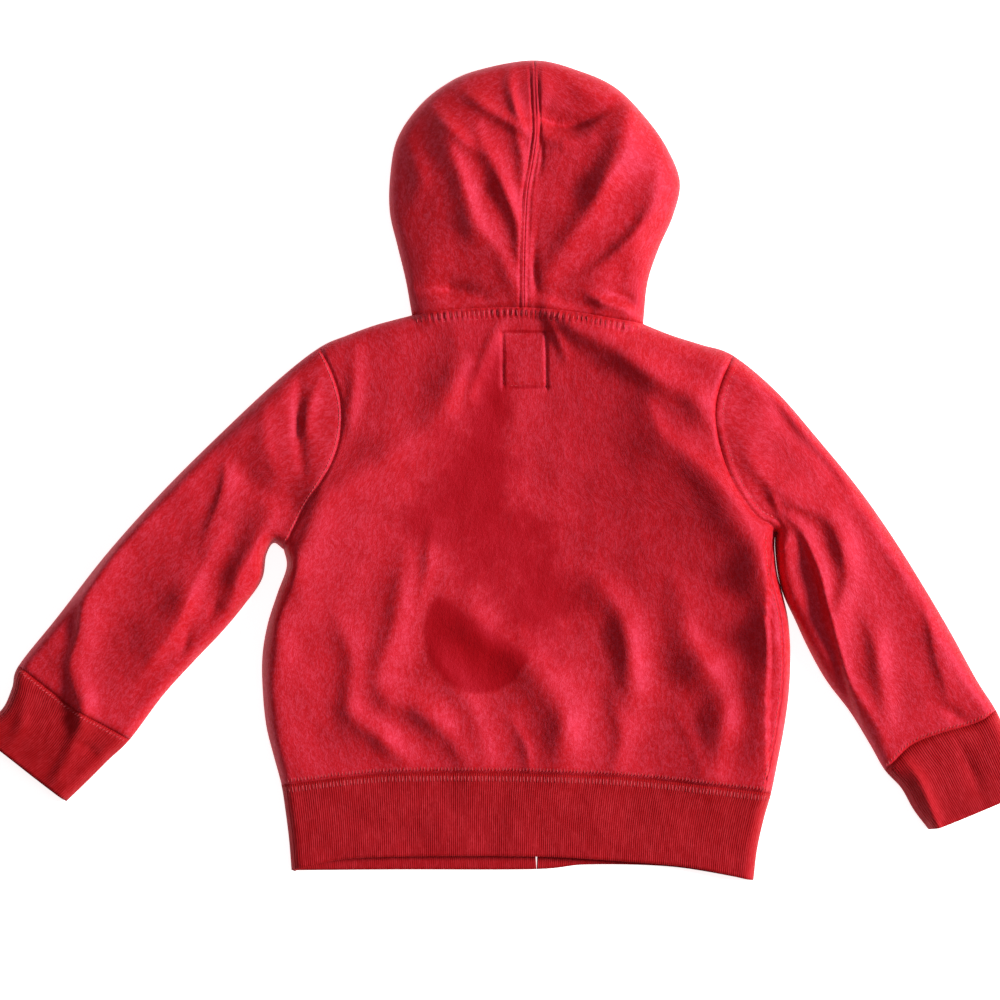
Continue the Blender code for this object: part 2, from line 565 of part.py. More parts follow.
class Lines:
    """The seams and edges as rows of points that neighbouring pieces share."""

    def __init__(self):
        self.armhole_left = Curve(ARMHOLE_LEFT)
        self.armhole_right = Curve(ARMHOLE_RIGHT)
        self.armhole_left_at = clock(self.armhole_left.length, ARM_COLUMNS, TOP_INSETS, TOP_INSETS)
        self.armhole_right_at = clock(self.armhole_right.length, ARM_COLUMNS, TOP_INSETS, TOP_INSETS)
        self.low_armhole_left = Curve(FRONT_ARMHOLE_LEFT)
        self.low_armhole_right = Curve(FRONT_ARMHOLE_RIGHT)
        self.low_left_at = clock(self.low_armhole_left.length, ARM_LOW_COLUMNS, LOW_INSETS, LOW_INSETS)
        self.low_right_at = clock(self.low_armhole_right.length, ARM_LOW_COLUMNS, LOW_INSETS, LOW_INSETS)
        self.edges = folded_edges()
        self.side_left = self.edges["side_left"].reversed()
        self.side_right = self.edges["side_right"]
        self.side_at = np.linspace(0.0, 1.0, SIDE_ROWS)
        self.shoulder_left = self.edges["shoulder_left"]
        self.shoulder_right = self.edges["shoulder_right"]
        self.hem_seam = Curve(HEM_SEAM)
        self.side_seam = self.seam_at_side()

    def seam_at_side(self):
        """The right side seam, from the underarm to the hem, with one point more than the side has."""
        at = np.linspace(0.0, 1.0, SIDE_ROWS + 1)
        edge = self.side_right.at(at)
        run = np.gradient(edge, axis=0)
        run /= np.linalg.norm(run, axis=1, keepdims=True)
        step = SIDE_SEAM_START + (SIDE_SEAM_IN - SIDE_SEAM_START) * eased(at * self.side_right.length / SIDE_SEAM_RUN)
        seam = edge + step[:, None] * np.column_stack([run[:, 1], -run[:, 0]])
        seam[0] = self.armhole_right.at(self.armhole_right_at[-2])
        seam[-1] = self.hem_seam.at(1.0 - SIDE_SEAM_IN / self.hem_seam.length)
        return edge, seam

    def underarm(self):
        """The last stretch of the right armhole on the upper layer, and half the seam gap along it."""
        arm = self.armhole_right.at(self.armhole_right_at[-2:])
        run = arm[1] - arm[0]
        return arm, run / np.linalg.norm(run) * SEAM_GAP / 2.0

    def neck(self):
        """The neck seam in its left and right half, each from the shoulder to the centre."""
        curve = Curve(NECK_SEAM)
        centre = curve.share[np.abs(curve.line[:, 0] - HOOD_SEAM[0][0]).argmin()]
        left = clock(curve.length * centre, NECK_COLUMNS, TOP_INSETS)
        right = clock(curve.length * (1.0 - centre), NECK_COLUMNS, TOP_INSETS)
        return curve.at(left * centre), curve.at(1.0 - right * (1.0 - centre))


class Maker:
    """Cuts and shapes the cloth pieces."""

    def __init__(self):
        self.lines = Lines()
        self.edges = FoldedEdges(self.lines.edges.values())
        self.loft = Loft(LOFT)

    def shape(self, grid, low, thickness):
        """The outer and inner points of a grid, in which low marks the columns on the lower layer."""
        rows, columns = grid.shape[:2]
        marks = np.broadcast_to(low, (rows, columns)).reshape(-1)
        return wall(grid.reshape(-1, 2), marks, thickness, self.edges, self.loft)

    def back(self, material):
        """The back panel, which turns down to the left side and ends at the seam on the right side."""
        lines = self.lines
        shoulder_left = lines.shoulder_left.at(clock(lines.shoulder_left.length, 2, TOP_INSETS))
        shoulder_right = lines.shoulder_right.at(clock(lines.shoulder_right.length, 3))
        neck_left, neck_right = lines.neck()
        neck = aside(np.vstack([neck_left, neck_right[-2::-1]]), -1)
        first = np.vstack([shoulder_left[:-1], neck, shoulder_right[1:]])
        last = aside(lines.hem_seam.at(self.hem_shares(len(first))), 1)
        left = np.vstack([
            aside(lines.armhole_left.at(lines.armhole_left_at), 1),
            lines.side_left.at(lines.side_at)[1:],
        ])
        arm = aside(lines.armhole_right.at(lines.armhole_right_at[:-1]), -1)
        arm[-1] -= lines.underarm()[1]
        right = np.vstack([arm, aside(lines.side_seam[1], -1)[1:]])
        corners = (SHOULDER_LEFT[0], SHOULDER_RIGHT[-1], HEM_SEAM[0], lines.side_seam[1][-1])
        grid = meet(first, last, left, right, corners)
        outer, inner = self.shape(grid, np.zeros(grid.shape[1], bool), FLEECE)
        outer[:, 2] = np.maximum(outer[:, 2], FOLD_RADIUS + SEAM_GAP / 2.0)
        inner[:, 2] = np.maximum(inner[:, 2], FOLD_RADIUS + SEAM_GAP / 2.0)
        return wall_solid("back", outer, inner, grid_triangles(*grid.shape[:2]), material)

    def hem_shares(self, count):
        """Where the columns of the back meet the hem seam."""
        length = self.lines.hem_seam.length
        return clock(length, count - len(TOP_INSETS) - 1, TOP_INSETS, (SIDE_SEAM_IN,))

    def front(self, side, material):
        """A front panel, flat on the lower layer."""
        lines = self.lines
        rows = len(lines.low_left_at) + SIDE_ROWS - (1 if side < 0 else 0)
        zip_line = Curve(ZIP_LINE[1:]).reversed().at(np.linspace(0.0, 1.0, rows))
        gap = np.interp(zip_line[:, 1], *np.array(ZIP_GAP).T) / 2.0
        centre = zip_line + side * np.column_stack([gap, np.zeros(len(gap))])
        if side < 0:
            neckline = Curve(NECKLINE_LEFT)
            shoulder = lines.shoulder_left
            armhole = aside(lines.low_armhole_left.at(lines.low_left_at), 1)
            edge = lines.side_left.at(lines.side_at)
            start, corner = SHOULDER_LEFT[0], HEM_SEAM[0]
            hem_end = 0.0
        else:
            neckline = Curve(NECKLINE_RIGHT)
            shoulder = lines.shoulder_right.reversed()
            armhole = aside(lines.low_armhole_right.at(lines.low_right_at), -1)
            edge = lines.side_seam[0]
            start, corner = SHOULDER_RIGHT[-1], HEM_SEAM[-1]
            hem_end = 1.0
        top = shoulder.at(clock(shoulder.length, 1, LOW_INSETS))
        neck = aside(neckline.at(clock(neckline.length, FACE_COLUMNS, LOW_INSETS)), side)
        first = np.vstack([top[:-1], neck])
        hem = Curve(FRONT_HEM_SEAM)
        middle = self.hem_centre(side)
        at = clock(hem.length * abs(middle - hem_end), len(first) - len(LOW_INSETS) - 1, LOW_INSETS)
        last = aside(hem.at(hem_end + (middle - hem_end) * at), -side)
        left = np.vstack([armhole, edge[1:]])
        centre[0] = (neckline.line[-1][0], neckline.line[-1][1])
        centre[-1] = hem.at(middle)
        grid = meet(first, last, left, centre, (start, centre[0], corner, centre[-1]))
        outer, inner = self.shape(grid, np.ones(grid.shape[1], bool), FLEECE)
        outer[:, 2] = np.minimum(outer[:, 2], FOLD_RADIUS - SEAM_GAP / 2.0)
        inner[:, 2] = np.minimum(inner[:, 2], FOLD_RADIUS - SEAM_GAP / 2.0)
        triangles = grid_triangles(*grid.shape[:2])
        if side < 0:
            return wall_solid("front_left", outer, inner, triangles, material)
        return self.front_with_side(grid, outer, inner, triangles, material)

    def front_with_side(self, grid, outer, inner, triangles, material):
        """The right front panel, which turns up round the side to its seam on the upper layer."""
        lines = self.lines
        rows, columns = grid.shape[:2]
        under = len(lines.low_right_at) - 1
        low_edge = np.arange(under, rows) * columns
        near = grid[under:, 0]
        far = aside(lines.side_seam[1], 1)
        arm, along = lines.underarm()
        far[0] = aside(arm, -1)[0] + along
        far[-1, 1] += SEAM_GAP / 2.0
        strip = near[:, None] + np.array(SIDE_STEPS)[None, :, None] * (far - near)[:, None]
        strip_outer, strip_inner = self.shape(strip, np.zeros(len(SIDE_STEPS), bool), FLEECE)
        new = len(outer) + np.arange(len(low_edge) * len(SIDE_STEPS)).reshape(len(low_edge), -1)
        index = np.column_stack([low_edge, new])
        for row in range(len(index) - 1):
            for column in range(len(SIDE_STEPS)):
                a, b = index[row, column : column + 2]
                c, d = index[row + 1, column : column + 2]
                triangles += [(a, d, b), (a, c, d)]
        outer = np.vstack([outer, strip_outer])
        inner = np.vstack([inner, strip_inner])
        return wall_solid("front_right", outer, inner, triangles, material)

    def hem_centre(self, side):
        """The share of the front hem seam at which a front ends at the zip."""
        hem = Curve(FRONT_HEM_SEAM)
        zip_end = Curve(ZIP_LINE)
        x = np.interp(-0.2035, zip_end.line[:, 1], zip_end.line[:, 0])
        x += side * np.interp(-0.2035, *np.array(ZIP_GAP).T) / 2.0
        return float(np.interp(x, hem.line[:, 0], hem.share))

    def tube(self, name, outside, inside, starts, ends, thickness, material):
        """A closed tube between two folded edges. starts and ends hold its end rows, above and below."""
        layers = []
        for start, end in zip(starts, ends):
            near = np.linspace(0.0, 1.0, len(outside))[:, None]
            share = (1.0 - near) * chord_shares(start) + near * chord_shares(end)
            share = share[..., None]
            grid = (1.0 - share) * outside[:, None] + share * inside[:, None]
            fade_in = 1.0 - eased(near / SEAM_FADE)
            fade_out = 1.0 - eased((1.0 - near) / SEAM_FADE)
            grid += fade_in[..., None] * (start - grid[0]) + fade_out[..., None] * (end - grid[-1])
            layers.append(grid)
        top, low = layers
        low[:, 0] = top[:, 0]
        low[:, -1] = top[:, -1]
        grid = np.concatenate([top, low[:, -2:0:-1]], axis=1)
        marks = np.array([False] * top.shape[1] + [True] * (low.shape[1] - 2))
        outer, inner = self.shape(grid, marks, thickness)
        triangles = grid_triangles(grid.shape[0], grid.shape[1], closed=True)
        return wall_solid(name, outer, inner, triangles, material)

    def sleeve(self, side, material):
        """A sleeve from its armhole to the seam of its cuff."""
        lines = self.lines
        rows = np.linspace(0.0, 1.0, SLEEVE_ROWS)
        if side < 0:
            outside = lines.edges["sleeve_outer_left"].reversed().at(rows)
            inside = lines.edges["sleeve_inner_left"].at(rows**UNDERARM_ROWS)
            top = aside(lines.armhole_left.at(lines.armhole_left_at), -1)
            low = aside(lines.low_armhole_left.at(lines.low_left_at), -1)
            seam = Curve(CUFF_SEAM_LEFT)
            name = "sleeve_left"
        else:
            outside = lines.edges["sleeve_outer_right"].at(rows)
            inside = lines.edges["sleeve_inner_right"].reversed().at(rows**UNDERARM_ROWS)
            top = aside(lines.armhole_right.at(lines.armhole_right_at), 1)
            low = aside(lines.low_armhole_right.at(lines.low_right_at), 1)
            seam = Curve(CUFF_SEAM_RIGHT)
            name = "sleeve_right"
        end_top, end_low = self.cuff_rows(seam)
        ends = (aside(end_top, -side), aside(end_low, -side))
        return self.tube(name, outside, inside, (top, low), ends, FLEECE, material)

    def cuff_rows(self, seam):
        """The points of a line across a cuff, above and below."""
        top = seam.at(clock(seam.length, ARM_COLUMNS, TOP_INSETS, TOP_INSETS))
        low = seam.at(clock(seam.length, ARM_LOW_COLUMNS, LOW_INSETS, LOW_INSETS))
        return top, low

    def cuff(self, side, material):
        """A rib cuff from its seam to its open end."""
        rows = np.linspace(0.0, 1.0, CUFF_ROWS)
        if side < 0:
            outside = self.lines.edges["cuff_outer_left"].reversed().at(rows)
            inside = self.lines.edges["cuff_inner_left"].at(rows)
            seam, end = Curve(CUFF_SEAM_LEFT), Curve(CUFF_END_LEFT)
        else:
            outside = self.lines.edges["cuff_outer_right"].at(rows)
            inside = self.lines.edges["cuff_inner_right"].reversed().at(rows)
            seam, end = Curve(CUFF_SEAM_RIGHT), Curve(CUFF_END_RIGHT)
        start_top, start_low = self.cuff_rows(seam)
        end_top, end_low = self.cuff_rows(end)
        starts = (aside(start_top, side), aside(start_low, side))
        name = "cuff_left" if side < 0 else "cuff_right"
        return self.tube(name, outside, inside, starts, (end_top, end_low), RIB, material)

    def hem_band(self, material):
        """The rib band round the hem, open at the centre front."""
        lines = self.lines
        rows = np.linspace(0.0, 1.0, HEM_ROWS)
        left = lines.edges["hem_side_left"].reversed().at(rows)
        right = lines.edges["hem_side_right"].at(rows)
        back = self.hem_shares(self.back_columns())
        end = 1.0 - SIDE_SEAM_IN * np.array([*SIDE_STEPS[-2::-1], 0.0]) / lines.hem_seam.length
        shares = np.concatenate([back, end])
        first = aside(lines.hem_seam.at(shares), -1)
        last = Curve(HEM_EDGE).at(shares)
        last[0], last[-1] = left[-1], right[-1]
        over = meet(first, last, left, right, (HEM_SEAM[0], HEM_SEAM[-1], left[-1], right[-1]))
        grids = [over]
        seam, edge = Curve(FRONT_HEM_SEAM), Curve(FRONT_HEM_EDGE)
        for side, outline, at_side in ((-1, left, 0.0), (1, right, 1.0)):
            middle = self.hem_centre(side)
            at = clock(seam.length * abs(middle - at_side), 6, LOW_INSETS)
            top = aside(seam.at(at_side + (middle - at_side) * at), side)
            zip_y = edge.at(middle)[1]
            x = ZIP_LINE[0][0] + side * ZIP_GAP[0][1] / 2.0
            end_share = float(np.interp(x, edge.line[:, 0], edge.share))
            bottom = edge.at(at_side + (end_share - at_side) * at)
            bottom[0] = outline[-1]
            bottom[-1] = (x, min(zip_y, bottom[-1][1]))
            centre = seam.at(middle) + rows[:, None] * (bottom[-1] - seam.at(middle))
            low = meet(top, bottom, outline, centre, (outline[0], centre[0], bottom[0], bottom[-1]))
            low[:, 0] = over[:, 0] if side < 0 else over[:, -1]
            grids = [low[:, :0:-1], *grids] if side < 0 else [*grids, low[:, 1:]]
        grid = np.concatenate(grids, axis=1)
        marks = np.array([True] * grids[0].shape[1] + [False] * over.shape[1] + [True] * grids[2].shape[1])
        outer, inner = self.shape(grid, marks, RIB)
        return wall_solid("hem_band", outer, inner, grid_triangles(*grid.shape[:2]), material)

    def back_columns(self):
        """How many columns the back panel has."""
        neck_left, neck_right = self.lines.neck()
        return len(TOP_INSETS) + 2 + len(neck_left) + len(neck_right) - 1 + 4

    def hood(self, side, material):
        """Half of the hood, from the centre seam over its folded edge and back under to the face opening."""
        rows = np.linspace(0.0, 1.0, HOOD_ROWS)
        neck_left, neck_right = self.lines.neck()
        if side < 0:
            neck = neck_left[::-1]
            edge = self.lines.edges["hood_left"].at(rows)
            neckline = Curve(NECKLINE_LEFT)
            face = Curve(FACE_EDGE_LEFT).at(rows)
        else:
            neck = neck_right[::-1]
            edge = self.lines.edges["hood_right"].reversed().at(rows)
            neckline = Curve(NECKLINE_RIGHT)
            face = Curve(FACE_EDGE_RIGHT).at(rows)
        first = aside(neck, side)
        seam = aside(Curve(HOOD_SEAM).at(rows), -side)
        crown = Curve([HOOD_SEAM[-1], HOOD_EDGE_LEFT[-1]])
        over = crown.at(clock(crown.length, NECK_COLUMNS, (0.0,), TOP_INSETS))
        top = meet(first, aside(over, -side), seam, edge, (neck[0], edge[0], over[0], edge[-1]))
        low_first = neckline.at(clock(neckline.length, FACE_COLUMNS, LOW_INSETS))
        under_line = Curve([HOOD_EDGE_LEFT[-1], FACE_EDGE_LEFT[-1]])
        under = under_line.at(clock(under_line.length, FACE_COLUMNS, LOW_INSETS))
        low = meet(
            aside(low_first, -side), aside(under, side), edge, face, (edge[0], face[0], edge[-1], face[-1])
        )
        low[:, 0] = top[:, -1]
        grid = np.concatenate([top, low[:, 1:]], axis=1)
        marks = np.array([False] * top.shape[1] + [True] * (low.shape[1] - 1))
        outer, inner = self.shape(grid, marks, FLEECE)
        name = "hood_left" if side < 0 else "hood_right"
        return wall_solid(name, outer, inner, grid_triangles(*grid.shape[:2]), material)


def zip_x(y):
    """Where the centre of the zip is at this height of the garment."""
    line = Curve(ZIP_LINE).line
    return np.interp(y, line[:, 1], line[:, 0])


def ribbon(name, start, end, sides, levels, material):
    """A flat band along the zip, from one y to another."""
    places = np.linspace(start, end, ZIP_STATIONS)
    mesh = bmesh.new()
    rings = []
    for y in places:
        x = float(zip_x(y))
        corners = ((sides[0], levels[0]), (sides[1], levels[0]), (sides[1], levels[1]), (sides[0], levels[1]))
        rings.append([mesh.verts.new((x + across, y, z)) for across, z in corners])
    for one, other in zip(rings, rings[1:]):
        for corner in range(4):
            after = (corner + 1) % 4
            mesh.faces.new((one[corner], one[after], other[after], other[corner]))
    mesh.faces.new(rings[0])
    mesh.faces.new(rings[-1][::-1])
    return finish(name, mesh, material, False)


def block(low, high):
    """A box between two corners, as a bmesh."""
    mesh = bmesh.new()
    bmesh.ops.create_cube(mesh, size=1.0)
    for vertex in mesh.verts:
        vertex.co = [lo + (hi - lo) * (part + 0.5) for lo, hi, part in zip(low, high, vertex.co)]
    return mesh


def rod(radius, half_length, centre):
    """A round rod along X, as a bmesh."""
    mesh = bmesh.new()
    bmesh.ops.create_cone(
        mesh, cap_ends=True, segments=ROUND_STEPS, radius1=radius, radius2=radius, depth=2.0 * half_length
    )
    for vertex in mesh.verts:
        x, y, z = vertex.co
        vertex.co = (centre[0] + z, centre[1] + x, centre[2] + y)
    return mesh


def combine(name, first, others, material):
    """One body from several shapes. Each of the others is a shape and what it does: UNION or DIFFERENCE."""
    item = finish(name, first, material, False)
    for number, (mesh, what) in enumerate(others):
        other = finish(f"{name}_{number}", mesh, material, False)
        change = item.modifiers.new("join", "BOOLEAN")
        change.operation = what
        change.solver = "EXACT"
        change.object = other
        bpy.context.view_layer.update()
        result = bpy.data.meshes.new_from_object(item.evaluated_get(bpy.context.evaluated_depsgraph_get()))
        item.modifiers.clear()
        item.data = result
        bpy.data.objects.remove(other)
    item.data.name = name
    return item


def slider(material):
    """The zip slider: two plates, the solid end between them, and two lugs that hold the pin of the tab."""
    x = float(zip_x(SLIDER_END))
    half = SLIDER_WIDTH / 2.0
    start = SLIDER_END - SLIDER_LENGTH
    top = CHAIN_BOTTOM + CHAIN_THICKNESS + SEAM_GAP
    low = CHAIN_BOTTOM - SEAM_GAP - SLIDER_PLATE
    shapes = [(block((x - half, start, top), (x + half, SLIDER_END, top + SLIDER_PLATE)), "UNION")]
    post = block((x - 0.0008, SLIDER_END - SLIDER_BRIDGE, low + 0.0002), (x + 0.0008, SLIDER_END - 0.0002, top + 0.0002))
    shapes.append((post, "UNION"))
    for side in (-1, 1):
        edges = sorted((x + side * LUG_INNER, x + side * (LUG_INNER + LUG_THICKNESS)))
        lug = block((edges[0], SLIDER_END - 0.0010, LUG_BOTTOM), (edges[1], PIN_Y + 0.0010, low + 0.0007))
        shapes.append((lug, "UNION"))
    pin = rod(PIN_RADIUS, LUG_INNER + LUG_THICKNESS / 2.0, (x, PIN_Y, PIN_HEIGHT))
    shapes.append((pin, "UNION"))
    base = block((x - half, start, low), (x + half, SLIDER_END, low + SLIDER_PLATE))
    return combine("zip_slider", base, shapes, material)


def pull_tab(material):
    """The pull tab, on its pin, lying towards the hem. Its origin is on the axis of the pin."""
    length = TAB_LENGTH
    plate_low = -PIN_HEIGHT + TAB_OVER_FLOOR
    plate_high = plate_low + TAB_THICKNESS
    neck = block((-EYE_HALF, -TAB_NECK - 0.0004, plate_low), (EYE_HALF, -0.00085, plate_high))
    plate = block((-TAB_WIDTH / 2.0, -length, plate_low), (TAB_WIDTH / 2.0, -TAB_NECK, plate_high))
    eye = rod(EYE_OUTER, EYE_HALF, (0.0, 0.0, 0.0))
    hole = rod(EYE_INNER, EYE_HALF * 2.0, (0.0, 0.0, 0.0))
    shapes = [(hole, "DIFFERENCE"), (neck, "UNION"), (plate, "UNION")]
    item = combine("zip_pull", eye, shapes, material)
    item.location = (float(zip_x(SLIDER_END)), PIN_Y, PIN_HEIGHT)
    return item


def main():
    """Make every piece."""
    for item in list(bpy.data.objects):
        bpy.data.objects.remove(item)
    maker = Maker()
    for side, end in ((-1, "left"), (1, "right")):
        maker.front(side, paint(f"fleece_front_{end}", FLEECE_RED, 0.95))
        maker.sleeve(side, paint(f"fleece_sleeve_{end}", FLEECE_RED, 0.95))
        maker.cuff(side, paint(f"rib_cuff_{end}", RIB_RED, 0.9))
        maker.hood(side, paint(f"fleece_hood_{end}", FLEECE_RED, 0.95))
    maker.back(paint("fleece_back", FLEECE_RED, 0.95))
    maker.hem_band(paint("rib_hem_band", RIB_RED, 0.9))
    half = CHAIN_WIDTH / 2.0
    chain_levels = (CHAIN_BOTTOM, CHAIN_BOTTOM + CHAIN_THICKNESS)
    tape_levels = (CHAIN_BOTTOM, CHAIN_BOTTOM + TAPE_THICKNESS)
    nylon = paint("zip_chain", ZIP_RED, 0.45)
    ribbon("zip_chain", ZIP_START, SLIDER_END - SLIDER_BRIDGE - SEAM_GAP, (-half, half), chain_levels, nylon)
    for side, end in ((-1, "left"), (1, "right")):
        sides = sorted((side * (half + SEAM_GAP), side * (half + SEAM_GAP + TAPE_WIDTH)))
        ribbon(f"zip_tape_{end}", ZIP_START, TAPE_END, sides, tape_levels, paint(f"zip_tape_{end}", ZIP_RED, 0.8))
    slider(paint("zip_slider", METAL, 0.35, 1.0))
    pull_tab(paint("zip_pull", METAL, 0.35, 1.0))


if __name__ == "__main__":
    main()
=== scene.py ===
"""A toddler's red fleece zip hoodie, laid face down with its hood spread above the shoulders.

The cloth is shaped from one height over the surface that the garment lies on. Each sewn piece is cut from its
own outline, walled to the thickness of its knit and covered with the folds, seams and stitches that it shows.
"""

import logging
import math
from dataclasses import dataclass, field
from enum import Enum
from typing import Any, Iterable, Sequence

import bmesh
import bpy
import numpy as np
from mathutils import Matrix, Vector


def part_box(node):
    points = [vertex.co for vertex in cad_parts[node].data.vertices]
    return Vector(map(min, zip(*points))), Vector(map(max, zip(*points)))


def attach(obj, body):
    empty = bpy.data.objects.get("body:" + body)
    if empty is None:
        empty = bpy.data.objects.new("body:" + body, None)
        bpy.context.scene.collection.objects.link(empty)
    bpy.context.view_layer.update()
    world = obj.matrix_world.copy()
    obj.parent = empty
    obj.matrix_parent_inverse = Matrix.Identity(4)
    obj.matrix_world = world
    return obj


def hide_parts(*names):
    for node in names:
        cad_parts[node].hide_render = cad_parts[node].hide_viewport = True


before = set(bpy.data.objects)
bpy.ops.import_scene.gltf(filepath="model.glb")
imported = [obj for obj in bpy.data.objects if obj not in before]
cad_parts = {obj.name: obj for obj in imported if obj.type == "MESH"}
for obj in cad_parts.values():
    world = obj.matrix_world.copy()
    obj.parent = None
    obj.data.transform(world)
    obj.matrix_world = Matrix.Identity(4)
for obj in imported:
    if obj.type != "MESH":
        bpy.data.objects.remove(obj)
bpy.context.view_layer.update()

log = logging.getLogger("hoodie")

Array = np.ndarray
Point = tuple[float, float]
Colour = tuple[float, float, float]
Item = bpy.types.Object
Material = bpy.types.Material
Node = bpy.types.Node
NodeTree = bpy.types.NodeTree
Socket = bpy.types.NodeSocket

GARMENT = "garment"
MM = 0.001
TINY = 1e-12  # keeps a division by nothing away


def mm(*rows: Sequence[float]) -> list[tuple[float, ...]]:
    """Rows of millimetres, in metres."""
    return [tuple(round(MM * value, 7) for value in row) for row in rows]


# Cloth, in metres
FLEECE_WALL = 0.0020
RIB_WALL = 0.0024
FOLD_RADIUS = 0.0030
LAYER_GAP = 0.0006
SEAM_GAP = -0.0002  # sewn edges overlap a little, so that no light gets through
SIDE_SEAM_IN = 0.0050
SIDE_SEAM_START = 0.0008
SIDE_SEAM_RUN = 0.030
RIB_PITCH = 0.00136
RIB_DEPTH = 0.00011
CURVE_STEPS = 14
LABEL_STEPS = 12

# Zip, in metres
TOOTH_SPACING = 0.0013
TOOTH_WIDTH = 0.0030
TOOTH_HEIGHT = 0.00184
TOOTH_SHIFT = 0.0005  # how far each lies to the left or the right
TOOTH_END = 0.0008  # from the chain's end to the middle of its last tooth
CHAIN_STEP = 0.004
TAPE_WIDTH = 0.011
TAPE_THICKNESS = 0.0006
TAPE_STEP = 0.0025
TAPE_COLUMNS = 9
TAPE_WAVE = 0.00005
TAPE_WAVE_RUN = 0.0011  # along the tape for each radian of its waves

# Grid steps, in metres, and how the rows close up at folded edges
STEP_ACROSS = 0.0011
STEP_ALONG = 0.0021
STEP_SHOULDER = 0.0018
SLEEVE_STEP = 0.0016
SLEEVE_ROW_STEP = 0.00184
HOOD_STEP = 0.0010
HOOD_ROW_STEP = 0.0019
HOOD_LOW_STEP = 0.0026
LOW_STEP = 0.0035
RIB_STEP = 0.00034
RIB_LOW_STEP = 0.00068
CUFF_ROWS = 24
HEM_ROWS = 26
PATH_STEP = 0.0012
INSIDE_UV = (0.5, 0.0)  # how far the inside of a piece lies from its outside on the flat cloth
TOP_INSETS = (0.0, 0.0003, 0.0008, 0.0016, 0.0026, 0.0038, 0.0052, 0.0068, 0.0084, 0.0100)
LOW_INSETS = (0.0, 0.0004, 0.0009, 0.0016, 0.0030)
SEAM_INSET = TOP_INSETS.index(SIDE_SEAM_START)
RIB_INSETS = TOP_INSETS[:5]
SIDE_STEPS = (0.06, 0.14, 0.24, 0.38, 0.55, 0.78, 1.0)
SEAM_FADE = 0.12  # share of a sleeve over which its rows straighten out from a seam
UNDERARM_ROWS = 2.0  # how much closer the rows lie at the underarm

# Folded edges, clockwise from the left of the neck: (x, y) in millimetres, like the tables below
HOOD_EDGE_LEFT = mm(
    (-57, 99), (-61, 121.5), (-66.2, 143), (-71.2, 165), (-71, 188), (-66.8, 211), (-54.5, 230.5), (-38, 245.2),
    (-16.5, 255.5), (21.2, 262.2),
)
HOOD_EDGE_RIGHT = mm(
    (21.2, 262.2), (51.5, 255), (74, 244.2), (93, 225), (106.5, 205.5), (114.5, 184), (110, 162.5), (101, 142),
    (93.8, 120), (91, 93.5),
)
SHOULDER_RIGHT = mm((91, 93.5), (108.5, 86.5), (128, 80.3), (148.5, 73.3))
SLEEVE_OUTER_RIGHT = mm(
    (148.5, 73.3), (176.5, 50), (203.5, 19), (228.5, -11.5), (250, -42), (269.5, -73), (287.5, -103.5),
    (304.5, -134.5), (316.5, -153.5),
)
CUFF_OUTER_RIGHT = mm((316.5, -153.5), (327.5, -178), (338.5, -203.5))
CUFF_INNER_RIGHT = mm((273.5, -230), (264, -217.5), (256, -203.5), (245.5, -192))
SLEEVE_INNER_RIGHT = mm(
    (245.5, -192), (236, -175.5), (223.5, -155), (208, -134.5), (196.5, -114), (187.7, -95), (180.7, -80),
    (177, -66), (175.3, -50), (175.5, -40.5),
)
SIDE_RIGHT = mm(
    (175.5, -40.5), (175.1, -50), (176.8, -66), (180.4, -80), (183.8, -96), (185.2, -118), (184.3, -142),
    (181.2, -165), (177, -187), (173, -206.5),
)
HEM_SIDE_RIGHT = mm((173, -206.5), (168.5, -222), (164, -242), (161.5, -262.5))
HEM_SIDE_LEFT = mm((-134, -256), (-135.5, -237), (-138, -217), (-140.5, -201.5))
SIDE_LEFT = mm(
    (-140.5, -201.5), (-145.5, -183), (-150.2, -164), (-152.5, -142), (-152.8, -120), (-149.5, -99), (-143, -78.5),
    (-137.2, -62), (-139, -51),
)
SLEEVE_INNER_LEFT = mm(
    (-139, -51), (-145.5, -46.8), (-150.2, -54.5), (-153, -70), (-164, -86), (-178.5, -103.5), (-198, -124),
    (-216.5, -144.5), (-237.5, -172.5),
)
CUFF_INNER_LEFT = mm((-237.5, -172.5), (-251, -185.5), (-264.5, -199), (-278, -212))
CUFF_OUTER_LEFT = mm((-338.5, -165), (-320.5, -154.5), (-313, -140), (-308.5, -125))
SLEEVE_OUTER_LEFT = mm(
    (-308.5, -125), (-283.5, -93.5), (-251.5, -52.5), (-214.5, -11.5), (-173, 29.5), (-140, 60), (-116, 78.5),
)
SHOULDER_LEFT = mm((-116, 78.5), (-98.5, 86.2), (-79, 93.2), (-57, 99))

# Seams over the upper layer
ARMHOLE_LEFT = mm(
    (-116, 78.5), (-108, 61.5), (-102.5, 43), (-102.5, 25), (-107.5, 6.5), (-116.5, -10), (-126.5, -26),
    (-139, -51),
)
ARMHOLE_RIGHT = mm(
    (148.5, 73.3), (140, 55), (136.5, 35), (141, 9.5), (150, -12), (162.5, -29.5), (171.8, -35), (175.5, -40.5),
)
NECK_SEAM = mm((-57, 99), (-38.5, 101.8), (-12, 103.5), (14.5, 103.8), (46.5, 101), (70, 97), (91, 93.5))
HOOD_SEAM = mm(
    (14.5, 103.8), (14.5, 124), (15.2, 150), (16.5, 175.5), (20, 196.5), (22.5, 215), (22, 232), (21.4, 248),
)
HEM_SEAM = mm((-140.5, -201.5), (-99, -196.2), (-60, -193.7), (22, -194), (88.5, -197.2), (173, -206.5))
HEM_EDGE = mm((-134, -255.5), (-100, -248.8), (-60, -247), (22, -247), (72, -249.7), (121, -254), (161.5, -262.5))
CUFF_SEAM_RIGHT = mm((316.5, -153.5), (303.5, -161.5), (278, -169), (261, -176.5), (245.5, -192))
